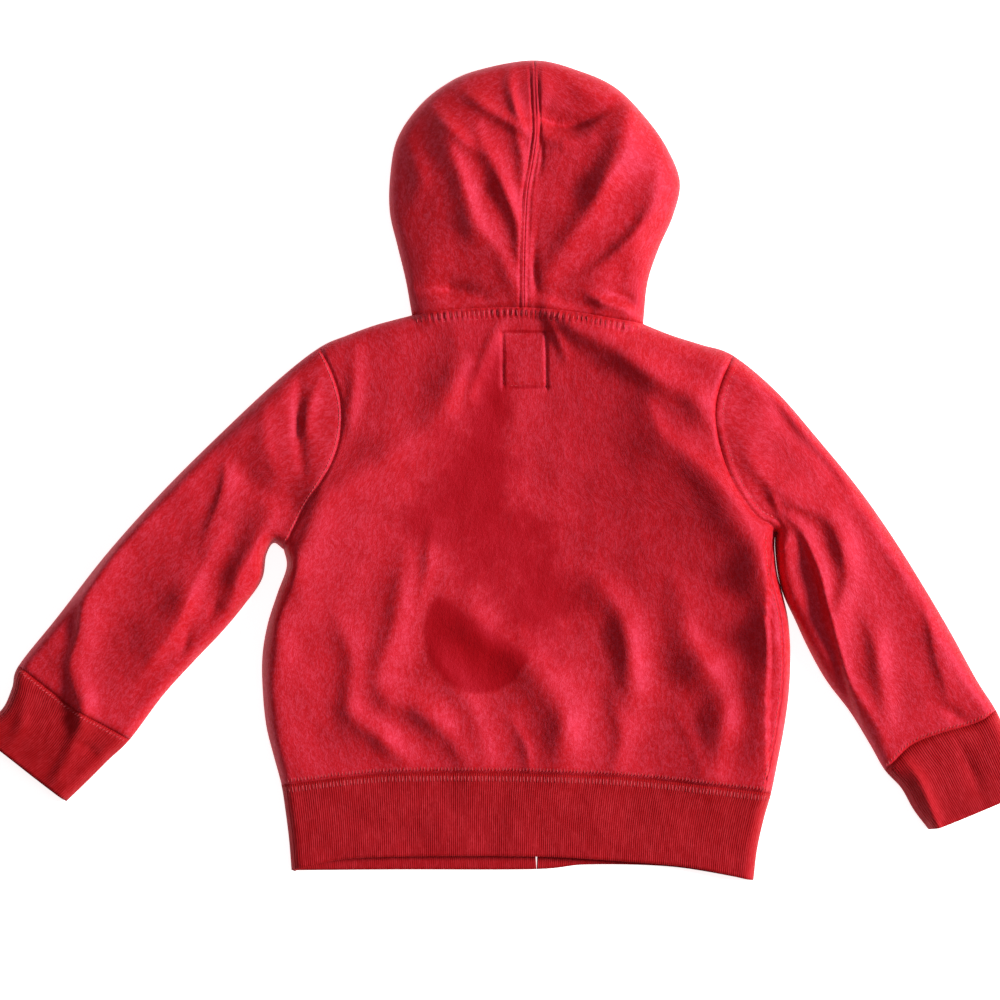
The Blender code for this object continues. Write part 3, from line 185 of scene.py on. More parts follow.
CUFF_SEAM_LEFT = mm((-308.5, -125), (-276, -150), (-237.5, -172.5))
CUFF_END_RIGHT = mm((338.5, -203.5), (319.5, -212.5), (286, -226.5), (273.5, -230))
CUFF_END_LEFT = mm((-338.5, -165), (-320.5, -179), (-297, -197.5), (-278, -212))

# Seams and edges of the lower layer, which hold the zip at the centre front
FRONT_ARMHOLE_LEFT = mm((-116, 78.5), (-103, 60), (-96.5, 38), (-97.5, 15), (-106, -8), (-121, -31), (-139, -51))
FRONT_ARMHOLE_RIGHT = mm(
    (148.5, 73.3), (134, 52), (127.5, 31), (129, 8), (139, -13), (155, -27), (169.5, -33.8), (175.5, -40.5),
)
NECKLINE_LEFT = mm((-57, 99), (-42, 76), (-19, 57), (14.1, 44.8))
NECKLINE_RIGHT = mm((91, 93.5), (78, 74), (55, 56), (23.1, 44.8))
FRONT_HEM_SEAM = mm((-140.5, -201.5), (-60, -203), (22, -203.5), (100, -204.5), (173, -206.5))
FRONT_HEM_EDGE = mm((-134, -256.2), (-66, -255.7), (22, -255.5), (56, -252.5), (110, -254), (161.5, -262.5))
ZIP_LINE = mm((22.8, -256), (21.9, -203.5), (20, -80), (18.6, 44.8))
ZIP_GAP = mm((-256, 0.2), (-203.5, 5.6), (5, 5.6), (44.8, 9))  # (y, gap between the fronts)
FACE_EDGE_LEFT = mm((14.1, 44.8), (-3, 95), (-2, 165), (20.5, 230))
FACE_EDGE_RIGHT = mm((23.1, 44.8), (41, 95), (40, 165), (20.5, 230))

# Folded edges that run on smoothly from one to the next
FOLDED = (
    ("hood_left", HOOD_EDGE_LEFT, "hood_right", HOOD_EDGE_RIGHT),
    ("shoulder_right", SHOULDER_RIGHT, "sleeve_outer_right", SLEEVE_OUTER_RIGHT,
     "cuff_outer_right", CUFF_OUTER_RIGHT),
    ("cuff_inner_right", CUFF_INNER_RIGHT, "sleeve_inner_right", SLEEVE_INNER_RIGHT),
    ("side_right", SIDE_RIGHT, "hem_side_right", HEM_SIDE_RIGHT),
    ("hem_side_left", HEM_SIDE_LEFT, "side_left", SIDE_LEFT),
    ("sleeve_inner_left", SLEEVE_INNER_LEFT, "cuff_inner_left", CUFF_INNER_LEFT),
    ("cuff_outer_left", CUFF_OUTER_LEFT, "sleeve_outer_left", SLEEVE_OUTER_LEFT, "shoulder_left", SHOULDER_LEFT),
)

# The stitched rectangle under the neck: its corners
LABEL_BOX = mm((1, 86.4), (28.5, 87.2), (29.2, 52.8), (1.4, 54.2), (1, 86.4))

# The line down the right sleeve where the upper layer steps down to a lower strip next to the body
SLEEVE_LEDGE = mm(
    (179, -35), (191.4, -42.2), (201, -63.4), (208.5, -92.2), (221, -134.4), (234.9, -176), (248, -196),
)

# How high the upper layer stands: (x, y, height, width of the slope down to a folded edge)
LOFT = mm(
    (15, 186, 24, 38), (-30, 185, 22, 40), (76, 195, 23.5, 28), (15, 234, 20.5, 26), (15, 133, 18, 22),
    (-35, 125, 15, 20), (76, 122, 16.5, 14), (15, 90, 12, 12), (15, 51, 9.2, 12), (-70, 76, 11, 14),
    (95, 77, 15, 12), (-105, 45, 10.2, 12), (64, 45, 10.4, 12), (115, 40, 16.8, 12), (-125, -38, 15, 7.5),
    (-136, -83, 13.8, 7), (-143, -125, 13.2, 7), (-136, -176, 12, 7), (-100, -6, 13, 10), (-90, -58, 13, 10),
    (-97, -109, 13, 10), (-45, -6, 9.5, 10), (-39, -58, 9, 10), (171, -58, 18.2, 6.5), (176, -115, 17.8, 6.5),
    (171, -173, 15, 6.5), (147, -109, 14, 10), (121, -58, 14.8, 10), (89, -6, 12.6, 10), (-1, -19, 8.8, 10),
    (140, -19, 18.2, 10), (90, -70, 10.5, 10), (44, -19, 7.8, 10), (63, -83, 8, 10), (-45, -115, 9.5, 10),
    (12, -160, 10, 10), (-71, -166, 10.5, 10), (108, -147, 10.5, 10), (-125, -202, 11, 8), (15, -200, 10.5, 10),
    (155, -204, 12, 8), (-125, -250, 10, 8), (15, -246, 9.8, 8), (150, -256, 10.2, 8), (-135, 32, 13.5, 14),
    (-180, -19, 12, 9), (-167, -58, 12.5, 10), (-244, -96, 10.5, 8), (-276, -147, 10.5, 8), (-295, -179, 10.6, 8),
    (-218, -122, 10.5, 8), (-225, -18, 14, 7), (-262, -70, 14.2, 7), (-288, -108, 12.6, 7), (179, 32, 14, 12),
    (223, -19, 14, 12), (243, -83, 13, 12), (275, -109, 15, 12), (255, -147, 12, 10), (294, -173, 11.2, 9),
    (294, -211, 10.6, 8),
)
LOFT_REACH = 0.030  # over which the slopes of two places mix
LOFT_UNDER = 0.0005  # how far the plate may go below the lowest place
LOFT_OVER = 0.002
LEDGE_DROP = 0.0036
LEDGE_BOX = (0.17, 0.27, -0.025)  # least x, most x and most y of the ledge's surroundings
LEDGE_BEFORE = 0.0012
LEDGE_WIDTH = 0.0044
LEDGE_ENDS = (0.22, 0.30)  # shares of its length over which it starts and ends
EDGE_ROUND = 0.0055
EDGE_SHARE = 0.42
EDGE_FADE = 0.003  # over which seams run out at a folded edge
EDGE_HINT = 0.0001  # makes the way from a place on an edge point outward
RIPPLE_RANGE = (0.75, 1.45)  # shares of a ripple's length that its waves have
FOLD_REACH = 3.4  # widths of a fold to where it ends
FOLD_FADE = 1.2  # widths over which it ends
FOLD_POINT = 0.75  # how quickly it falls off beside its crest
FOLD_GAIN = 1.28
FOLD_STEPS = 8
LINE_REACH = 3.0  # half widths of a seam to where it ends
PUCKER_FADE = 0.0012
PUCKER_ENDS = 14.0
PUCKER_DRIFT = (1.7, 160.0)  # how far the ribs wander along the seam, and how often per metre


@dataclass(frozen=True)
class Ridge:
    """A fold of the cloth, or a trough where its heights are below zero, in millimetres.

    Attributes:
        shade: Half its width on the right of its run, which is its steeper side.
        lit: Half its width on the left of its run.
        crest: x, y and height of the places along its crest.
    """

    shade: float
    lit: float
    crest: tuple[tuple[float, float, float], ...]


RIDGES = (
    # rim over the right side
    Ridge(19.2, 10.2, (
        (94.1, 39.7, 2.5), (101.8, 21.8, 4.6), (119.7, 7.7, 5.6), (136.3, -7.7, 6.6), (149.8, -26.2, 8),
        (161.3, -47.4, 9.2), (167.7, -70.4, 9.2), (171.5, -96, 9), (173.4, -121.6, 7.6), (173.4, -147.2, 5.8),
        (170.2, -176, 3.6), (165.8, -201.6, 1),
    )),
    # drag line from the neck to the right armhole
    Ridge(10.2, 14.1, (
        (31.4, 101.8, 3.2), (45.4, 92.8, 7.2), (61.4, 82.6, 8.4), (77.4, 73, 8.2), (94.1, 63.4, 6.8),
        (108.2, 53.8, 6), (122.2, 43.5, 5), (131.2, 29.4, 2.2),
    )),
    Ridge(5.1, 5.1, ((95.4, 84.5, -0.8), (124.2, 75.5, -1.6), (149.8, 71.7, -0.8))),
    # drag lines from the neck to the left underarm
    Ridge(21.8, 15.4, (
        (-9.6, 94.7, 1.4), (-19.8, 80, 3.2), (-28.2, 60.2, 4.2), (-41.6, 37.1, 4.8), (-62.1, 17.9, 4.8),
        (-83.8, 2.6, 4), (-104.3, -14.1, 2.4),
    )),
    Ridge(4.5, 5.8, ((-1.3, 94.7, 1), (-7.7, 80, 2.4), (-13.4, 62.7, 2), (-18.6, 44.8, 0.8))),
    Ridge(3.8, 5.1, ((28.8, 97.3, 1), (35.2, 85.8, 1.8), (41.6, 73, 1))),
    Ridge(5.8, 6.4, ((-92.8, 76.8, 0.8), (-95.4, 54.4, 2), (-96.6, 28.8, 1))),
    # rim over the left side
    Ridge(9, 16.6, (
        (-114.6, -19.2, 2), (-121, -38.4, 4), (-131.2, -67.2, 5), (-138.9, -96, 5), (-142.7, -124.8, 4),
        (-140.2, -156.8, 2.5), (-135, -185.6, 1),
    )),
    # folds over the lower back
    Ridge(10.2, 12.8, (
        (-60.8, -57.6, 1.2), (-63.4, -73.6, 3.4), (-65.9, -90.9, 3.8), (-72.3, -112, 2.4), (-76.8, -133.1, 3),
        (-70.4, -145.9, 4.6), (-54.4, -153, 4.6), (-37.8, -165.1, 4.2), (-25, -183, 2),
    )),
    Ridge(5.1, 5.8, ((-42.9, -38.4, 0.6), (-46.1, -60.8, 1.4), (-50.6, -83.2, 0.6))),
    Ridge(9.6, 11.5, (
        (-104.3, -90.9, 0.8), (-97.9, -108.8, 3.2), (-95.4, -126.7, 2.6), (-96.6, -142.1, 3.2),
        (-97.9, -152.3, 4.4), (-92.2, -161.9, 4.6), (-76.8, -170.9, 4.6), (-60.8, -183, 2.5),
    )),
    Ridge(11.5, 10.2, ((-41.6, -118.4, 1), (-27.5, -140.8, 2.2), (-16, -161.3, 2.6), (-9, -184.3, 2))),
    Ridge(17.9, 17.9, (
        (-35.2, -70.4, 1.5), (-26.2, -87, 3.4), (-14.7, -101.1, 4.2), (3.2, -113.9, 4.8), (21.1, -127.4, 6.4),
        (35.2, -144.6, 7.4), (40.3, -166.4, 6.8), (39, -189.4, 3.8),
    )),
    Ridge(5.1, 4.5, ((8.3, -161.3, 0.6), (16.6, -176, 1.4), (18.6, -188.8, 1))),
    Ridge(13.4, 12.8, (
        (54.4, -67.2, 1.2), (65.9, -80, 3.8), (77.4, -99.2, 6), (83.8, -118.4, 6.4), (84.5, -137, 5),
        (80, -154.9, 2.4),
    )),
    Ridge(7, 10.2, ((71, -144, 1), (75.5, -166.4, 1.8), (72.3, -188.8, 1.2))),
    Ridge(19.2, 12.8, (
        (103, -70.4, 1.4), (113.3, -86.4, 3.4), (121.6, -108.8, 5.6), (130.6, -128, 6.4), (139.5, -145.3, 6.2),
        (138.2, -166.4, 5), (135, -190.7, 3.4),
    )),
    Ridge(5.8, 7.7, ((112, -156.8, 0.6), (121, -174.1, 1.2), (126.7, -192, 1))),
    # folds of the hood
    Ridge(5.1, 6.4, ((-57, 208, 1), (-53.8, 185.6, 2.2), (-57.6, 165.1, 1))),
    Ridge(12.8, 9, (
        (-41.6, 218.9, 1.2), (-32.6, 203.5, 4), (-23.7, 179.2, 5.2), (-16.6, 158.7, 5.6), (-6.4, 140.8, 5),
        (4.5, 124.2, 3.2), (10.9, 111.4, 1.2),
    )),
    Ridge(5.8, 6.4, ((-14.7, 216.3, 1.5), (-5.8, 198.4, 4.4), (2.6, 177.9, 4.8), (9, 156.8, 3.6), (11.5, 137, 1.5))),
    Ridge(5.1, 4.5, ((7, 218.9, 0.8), (10.2, 201.6, 2.2), (13.4, 181.8, 1))),
    Ridge(5.1, 5.8, ((-25, 240.6, 1), (-13.4, 232.3, 3.4), (-0.6, 223.4, 4), (12.8, 215.7, 2.4))),
    Ridge(7, 6.4, ((-48, 238.1, 1), (-33.9, 218.9, 3.4), (-21.1, 207.4, 3.2), (-8.3, 199.7, 1.4))),
    Ridge(4.5, 3.8, ((7, 256, 0.8), (6.4, 243.2, 2.6), (9.6, 229.1, 3.2), (13.4, 218.9, 1.4))),
    Ridge(3.2, 5.8, ((25.6, 254.7, 0.8), (26.9, 241.9, 1.6), (25.6, 226.6, 0.8))),
    Ridge(4.5, 6.4, ((41.6, 252.2, 0.8), (51.8, 240.6, 2.6), (64.6, 236.8, 2.4), (74.9, 239.4, 0.8))),
    # the pit beside the centre seam
    Ridge(3.2, 8.3, ((25, 225.3, -2), (35.2, 219.5, -5.5), (48, 218.9, -5.2), (62.1, 224.6, -2))),
    Ridge(6.4, 3.8, ((25, 213.8, 1), (40.3, 208.6, 2.6), (57, 211.2, 1.2))),
    # the deep folds of its right half
    Ridge(11.5, 12.8, (
        (82.6, 247, 2.5), (82.6, 229.1, 7), (77.4, 208, 7.5), (68.5, 184.3, 7), (57, 165.1, 6), (42.9, 144.6, 4.4),
        (31.4, 124.2, 1.8),
    )),
    Ridge(5.8, 11.5, (
        (101.8, 204.8, 0.8), (96.6, 177.9, 3), (90.9, 160, 4.2), (77.4, 142.1, 4), (60.8, 129.3, 3),
        (41.6, 117.8, 1),
    )),
    # where it bulges over the neck
    Ridge(3.8, 3.8, ((53.1, 113.9, 0.8), (61.4, 108.2, 3), (72.3, 103, 2.4), (89, 96, 0.8))),
    Ridge(3.8, 4.5, ((72.3, 111.4, -1), (81.3, 107.5, -2.6), (87.7, 101.1, -1.5))),
    Ridge(4.5, 7, ((-51.8, 115.2, -1.5), (-32.6, 114.6, -3.4), (-12.2, 111.4, -1.2))),
    Ridge(3.2, 6.4, ((19.8, 111.4, -0.6), (39, 107.5, -2), (57, 103.7, -1))),
    Ridge(3.2, 2.6, ((25.6, 218.9, -0.8), (25, 204.8, -1.8), (23, 188.2, -0.6))),
    Ridge(3.2, 3.2, ((21.8, 148.5, -0.5), (21.1, 130.6, -1.6), (22.4, 113.9, -1))),
    # folds of the left sleeve
    Ridge(5.8, 16.6, (
        (-227.2, -12.8, 0.8), (-252.8, -57.6, 3), (-266.9, -96, 4.2), (-273.3, -121.6, 5), (-272, -143.4, 4.4),
        (-266.9, -161.3, 2),
    )),
    Ridge(23, 9, (
        (-176, -32, 1.4), (-190.1, -57.6, 4.4), (-201, -83.2, 6.4), (-211.8, -103, 6.6), (-223.4, -119.7, 5),
        (-233.6, -135.7, 1.6),
    )),
    Ridge(4.5, 9, ((-174.7, 9, 0.8), (-177.9, -11.5, 2.4), (-184.3, -32, 1.6), (-188.8, -48, 0.6))),
    Ridge(10.2, 7.7, ((-146.6, -26.9, 2.4), (-158.1, -48, 5), (-166.4, -67.8, 4.6), (-173.4, -87, 2))),
    Ridge(11.5, 14.1, ((-183.7, 19.2, -0.8), (-163.2, -2.6, -2.6), (-138.9, -16.6, -2.8), (-126.1, -29.4, -1.2))),
    Ridge(3.8, 3.8, ((-128, 56.3, -1), (-128, 32, -2.4), (-126.7, 0, -1))),
    Ridge(3.2, 3.8, ((-116.5, 58.9, 0.6), (-121, 42.2, 1.8), (-122.9, 21.8, 1))),
    Ridge(7.7, 7.7, ((-153, 44.8, 0.6), (-153, 19.2, 1.6), (-144.6, -3.8, 0.8))),
    Ridge(3.8, 3.8, ((-199, -102.4, -0.6), (-201, -110.1, -1.6), (-203.5, -117.8, -0.6))),
    Ridge(3.8, 3.8, ((-181.8, -83.2, -0.5), (-183, -88.3, -1.4), (-185, -93.4, -0.5))),
    # folds of the left cuff
    Ridge(5.8, 7.7, ((-266.9, -147.2, 1.2), (-270.7, -170.2, 3.2), (-284.8, -195.8, 2.2))),
    Ridge(6.4, 6.4, ((-301.4, -140.8, 0.6), (-305.3, -160, 1.6), (-313, -174.1, 0.6))),
    Ridge(3.8, 3.8, ((-269.4, -174.1, -0.5), (-263, -177.9, -1.4), (-258.6, -183, -0.5))),
    # folds of the right sleeve
    Ridge(7.7, 14.1, (
        (170.9, -19.2, 1), (191.4, -23.7, 3.6), (208, -32, 5), (216.3, -48, 5.4), (218.9, -69.1, 4.8),
        (216.3, -90.9, 3.6), (212.5, -115.2, 1.2),
    )),
    Ridge(7.7, 14.1, ((153, 24.3, 0.8), (160.6, 5.1, 2.4), (177.3, -12.8, 2.6))),
    Ridge(3.2, 4.5, ((170.9, -10.2, 0.6), (174.1, -21.1, 1.6), (177.3, -32, 0.8))),
    Ridge(7, 5.8, ((167, 49.9, -1), (183.7, 26.9, -2.4), (211.8, -2.6, -2.6), (229.8, -22.4, -1))),
    Ridge(6.4, 7.7, ((160.6, 58.9, 1), (199, 19.2, 2), (237.4, -32, 2), (258.6, -67.2, 1))),
    Ridge(8.3, 10.2, ((234.9, -87, 0.8), (238.7, -113.9, 3), (242.6, -139.5, 2.6), (246.4, -161.3, 1))),
    Ridge(4.5, 9, ((269.4, -83.2, 0.6), (275.2, -106.2, 2.4), (281, -129.3, 2), (286.1, -147.2, 0.6))),
    Ridge(5.1, 5.1, ((278.4, -151, -0.6), (291.2, -157.4, -1.8), (301.4, -161.3, -0.6))),
    # its edge over the strip next to the body
    Ridge(3.8, 5.8, (
        (182.4, -32, 1.5), (192.6, -41, 3), (200.3, -58.9, 3.4), (205.4, -79.4, 3.4), (210.6, -103.7, 3.2),
        (218.2, -128, 2.6), (228.5, -145.9, 1.6), (245.1, -171.5, 0.6),
    )),
    # folds of the right cuff
    Ridge(5.1, 4.5, ((257.9, -186.9, 1), (266.9, -199.7, 3.6), (273.9, -215, 4), (278.4, -229.1, 2.4))),
    Ridge(5.1, 5.1, ((292.5, -174.1, -0.5), (301.4, -193.3, -1.4), (306.6, -215, -0.6))),
)


def hand(side: int) -> str:
    """The word for the left (-1) or the right (1) side."""
    return "left" if side < 0 else "right"


def shown(name: str, data: Any) -> Item:
    """A new object in the scene."""
    item = bpy.data.objects.new(name, data)
    bpy.context.scene.collection.objects.link(item)
    return item


def eased(value: Array) -> Array:
    """A smooth step from 0 to 1 over the values from 0 to 1."""
    value = np.clip(value, 0.0, 1.0)
    return value * value * (3.0 - 2.0 * value)


def left_of(line: Array) -> Array:
    """The unit vector to the left of a line's run at each of its points."""
    run = np.gradient(line, axis=0)
    run /= np.linalg.norm(run, axis=1, keepdims=True) + TINY
    return np.column_stack([-run[:, 1], run[:, 0]])


class Curve:
    """A smooth plane line through a few points, read by its share of the length."""

    def __init__(self, points: Sequence[Point], steps: int = CURVE_STEPS) -> None:
        """Draw the line.

        Args:
            points: The places that it runs through.
            steps: How many straight pieces it has between two of them.
        """
        known = np.array(points, float)
        known = np.vstack([2 * known[0] - known[1], known, 2 * known[-1] - known[-2]])
        t = np.linspace(0.0, 1.0, steps, endpoint=False)[:, None]
        spans = []
        for before, start, end, after in zip(known, known[1:], known[2:], known[3:]):
            slope = 0.5 * (end - before)
            bend = before - 2.5 * start + 2.0 * end - 0.5 * after
            twist = 1.5 * (start - end) + 0.5 * (after - before)
            spans.append(start + slope * t + bend * t**2 + twist * t**3)
        self.take(np.vstack(spans + [known[-2:-1]]))

    def take(self, line: Array) -> None:
        """Use these points as the line.

        Args:
            line: The points, in order.
        """
        self.line = line
        lengths = np.linalg.norm(np.diff(line, axis=0), axis=1)
        self.length = float(lengths.sum())
        self.share = np.concatenate([[0.0], np.cumsum(lengths)]) / self.length

    @classmethod
    def through(cls, line: Array) -> "Curve":
        """A line of exactly these points."""
        other = cls.__new__(cls)
        other.take(line)
        return other

    def at(self, share: Array) -> Array:
        """The points at these shares of the length."""
        return np.stack([np.interp(share, self.share, self.line[:, axis]) for axis in (0, 1)], axis=-1)

    def piece(self, first: int, last: int) -> "Curve":
        """The stretch of the line between two of the points that it was drawn through."""
        return Curve.through(self.line[first * CURVE_STEPS : last * CURVE_STEPS + 1])

    def reversed(self) -> "Curve":
        """The same line, run from its end to its start."""
        return Curve.through(self.line[::-1])

    def stretch(self, start: float, end: float) -> "Curve":
        """The part of the line between two shares of its length, in even steps."""
        count = max(3, int(self.length * abs(end - start) / PATH_STEP))
        return Curve.through(self.at(np.linspace(start, end, count)))

    def shifted(self, distance: float) -> "Curve":
        """The line moved to the left of its run, or to the right by a negative distance."""
        return Curve.through(self.line + distance * left_of(self.line))

    def close(self, points: Array, reach: float) -> Array:
        """The numbers of the places that may lie within this reach of the line."""
        low, high = self.line.min(axis=0) - reach, self.line.max(axis=0) + reach
        return np.flatnonzero(np.all((points > low) & (points < high), axis=1))


@dataclass
class Nearest:
    """Where each place lies next to a line."""

    gap: Array
    share: Array
    side: Array
    turn: Array

    @classmethod
    def to(cls, curve: Curve, points: Array) -> "Nearest":
        """Measure places against a line.

        Args:
            curve: The line.
            points: Plane points, one a row.

        Returns:
            The distance of each place, its share of the line's length, 1 on the line's right or -1, and the
            same as a smooth turn round its ends.
        """
        run = np.diff(curve.line, axis=0)
        offset = points[:, None, :] - curve.line[:-1]
        along = np.clip((offset * run).sum(-1) / ((run**2).sum(-1) + 1e-18), 0.0, 1.0)
        gap = offset - along[..., None] * run
        best = (gap**2).sum(-1).argmin(axis=1)
        rows = np.arange(len(points))
        gap = gap[rows, best]
        share = curve.share[best] + along[rows, best] * np.diff(curve.share)[best]
        cross = gap[:, 0] * run[best, 1] - gap[:, 1] * run[best, 0]
        far = np.sqrt((gap**2).sum(-1))
        turn = cross / (far * np.linalg.norm(run[best], axis=1) + TINY)
        return cls(far, share, np.sign(cross), turn)


def folded_edges() -> dict[str, Curve]:
    """Each folded edge by its name, as a stretch of the smooth line that it is part of.

    Returns:
        The edges by name.
    """
    edges = {}
    for chain in FOLDED:
        names, tables = chain[::2], chain[1::2]
        points = [tables[0][0]]
        for table in tables:
            points += table[1:]
        whole = Curve(points)
        first = 0
        for name, table in zip(names, tables):
            last = first + len(table) - 1
            edges[name] = whole.piece(first, last)
            first = last
    return edges


class FoldedEdges:
    """The lines where the upper layer turns down to the lower one, and how far a place is from them."""

    def __init__(self, curves: Iterable[Curve]) -> None:
        """Keep the straight pieces of all the lines.

        Args:
            curves: The folded edges.
        """
        lines = [curve.line[::2] for curve in curves]
        self.start = np.vstack([line[:-1] for line in lines])
        self.run = np.vstack([np.diff(line, axis=0) for line in lines])
        length = np.linalg.norm(self.run, axis=1, keepdims=True)
        self.outward = np.column_stack([-self.run[:, 1], self.run[:, 0]]) / length

    def distance(self, points: Array, block: int = 4096) -> tuple[Array, Array]:
        """Measure places against the nearest folded edge.

        Args:
            points: Plane points, one a row.
            block: How many are measured at a time.

        Returns:
            The distance of each, and the unit vector that points from it to the edge.
        """
        near = np.empty(len(points))
        way = np.empty((len(points), 2))
        for first in range(0, len(points), block):
            some = points[first : first + block, None, :]
            along = ((some - self.start) * self.run).sum(-1) / (self.run**2).sum(-1)
            gap = self.start + np.clip(along, 0.0, 1.0)[..., None] * self.run - some
            size = (gap**2).sum(-1)
            best = size.argmin(axis=1)
            rows = np.arange(len(best))
            near[first : first + block] = np.sqrt(size[rows, best])
            away = gap[rows, best] + self.outward[best] * EDGE_HINT
            way[first : first + block] = away / np.linalg.norm(away, axis=1, keepdims=True)
        return near, way


def plate(far: Array) -> Array:
    """How much a thin plate gives at this squared distance from a place that holds it."""
    return far * np.log(far + TINY)


class Loft:
    """The upper layer as a thin plate through the places of a table."""

    def __init__(self, table: Sequence[tuple[float, ...]]) -> None:
        """Solve the plate.

        Args:
            table: Rows of x, y, height and width of the slope to a folded edge.
        """
        rows = np.array(table)
        self.place = rows[:, :2]
        self.width = rows[:, 3]
        count = len(rows)
        far = ((self.place[:, None, :] - self.place) ** 2).sum(-1)
        flat = np.column_stack([np.ones(count), self.place])
        system = np.block([[plate(far), flat], [flat.T, np.zeros((3, 3))]])
        self.weight = np.linalg.solve(system, np.concatenate([rows[:, 2], np.zeros(3)]))
        self.low = rows[:, 2].min() - LOFT_UNDER
        self.high = rows[:, 2].max() + LOFT_OVER

    def at(self, points: Array) -> tuple[Array, Array]:
        """The height of the upper layer at each place, and the width of its slope to a folded edge.

        Args:
            points: Plane points, one a row.

        Returns:
            The heights and the widths.
        """
        far = ((points[:, None, :] - self.place) ** 2).sum(-1)
        height = plate(far) @ self.weight[:-3] + self.weight[-3] + points @ self.weight[-2:]
        near = np.exp(-far / (2.0 * LOFT_REACH**2)) + TINY
        near /= near.sum(axis=1, keepdims=True)
        return np.clip(height, self.low, self.high), near @ self.width


@dataclass(frozen=True)
class Ripple:
    """Smooth irregular waves over the cloth, as a sum of plane waves of about one length."""

    length: float
    height: float
    seed: int
    waves: int = 26

    def at(self, points: Array) -> Array:
        """The height of the waves at each place.

        Args:
            points: Plane points, one a row.

        Returns:
            A height for each.
        """
        chance = np.random.default_rng(self.seed)
        turn = chance.uniform(0.0, 2.0 * math.pi, self.waves)
        size = 2.0 * math.pi / (self.length * chance.uniform(*RIPPLE_RANGE, self.waves))
        phase = chance.uniform(0.0, 2.0 * math.pi, self.waves)
        total = np.zeros(len(points))
        for angle, number, start in zip(turn, size, phase):
            total += np.sin(number * (points[:, 0] * math.cos(angle) + points[:, 1] * math.sin(angle)) + start)
        return self.height * total / math.sqrt(self.waves / 2.0)


@dataclass(frozen=True)
class Line:
    """A seam or row of stitches that the cloth dips along, or stands up along."""

    curve: Curve
    half_width: float
    height: float

    def at(self, points: Array) -> Array:
        """What the line adds to the height at each place.

        Args:
            points: Plane points, one a row.

        Returns:
            A height for each.
        """
        added = np.zeros(len(points))
        close = self.curve.close(points, LINE_REACH * self.half_width)
        if len(close):
            gap = Nearest.to(self.curve, points[close]).gap
            added[close] = self.height * np.exp(-((gap / self.half_width) ** 2))
        return added


@dataclass(frozen=True)
class Pucker:
    """A narrow band along a seam that the sewing gathers into small ribs."""

    curve: Curve
    inner: float
    outer: float
    pitch: float
    height: float

    def at(self, points: Array) -> Array:
        """What the ribs add to the height at each place.

        Args:
            points: Plane points, one a row.

        Returns:
            A height for each.
        """
        added = np.zeros(len(points))
        close = self.curve.close(points, self.outer)
        if len(close):
            near = Nearest.to(self.curve, points[close])
            depth = near.gap * near.side
            band = eased((depth - self.inner) / PUCKER_FADE) * eased((self.outer - depth) / PUCKER_FADE)
            run = near.share * self.curve.length
            drift, often = PUCKER_DRIFT
            wave = np.sin(2.0 * math.pi * run / self.pitch + drift * np.sin(run * often))
            ends = eased(near.share * PUCKER_ENDS) * eased((1.0 - near.share) * PUCKER_ENDS)
            added[close] = self.height * band * wave * ends
        return added


class Folds:
    """All the folds of the garment."""

    def __init__(self, table: Sequence[Ridge]) -> None:
        """Draw the crest of each.

        Args:
            table: The ridges and troughs.
        """
        self.rows = []
        for ridge in table:
            crest = np.array(mm(*ridge.crest))
            curve = Curve(crest[:, :2], FOLD_STEPS)
            self.rows.append((curve, curve.share[::FOLD_STEPS], crest[:, 2], *mm((ridge.shade, ridge.lit))[0]))
        self.drift = (Ripple(0.045, 0.0007, 11), Ripple(0.045, 0.0007, 12))
        self.swell = Ripple(0.040, 0.12, 13)

    def at(self, points: Array) -> Array:
        """The sum of all folds at each place.

        Args:
            points: Plane points, one a row.

        Returns:
            A height for each.
        """
        moved = points + np.column_stack([wave.at(points) for wave in self.drift])
        total = np.zeros(len(points))
        for curve, knots, heights, shade, lit in self.rows:
            close = curve.close(moved, FOLD_REACH * max(shade, lit))
            if not len(close):
                continue
            near = Nearest.to(curve, moved[close])
            width = (lit + shade) / 2.0 + near.turn * (shade - lit) / 2.0
            part = near.gap / width
            across = (1.0 + FOLD_POINT * part**2) ** -2.0 * eased((FOLD_REACH - part) / FOLD_FADE)
            total[close] += np.interp(near.share, knots, heights) * across
        return FOLD_GAIN * total * (1.0 + self.swell.at(points))


def label_sides() -> tuple[Curve, ...]:
    """The four sides of the stitched rectangle."""
    corners = np.array(LABEL_BOX)
    return tuple(Curve.through(np.linspace(*ends, LABEL_STEPS)) for ends in zip(corners, corners[1:]))


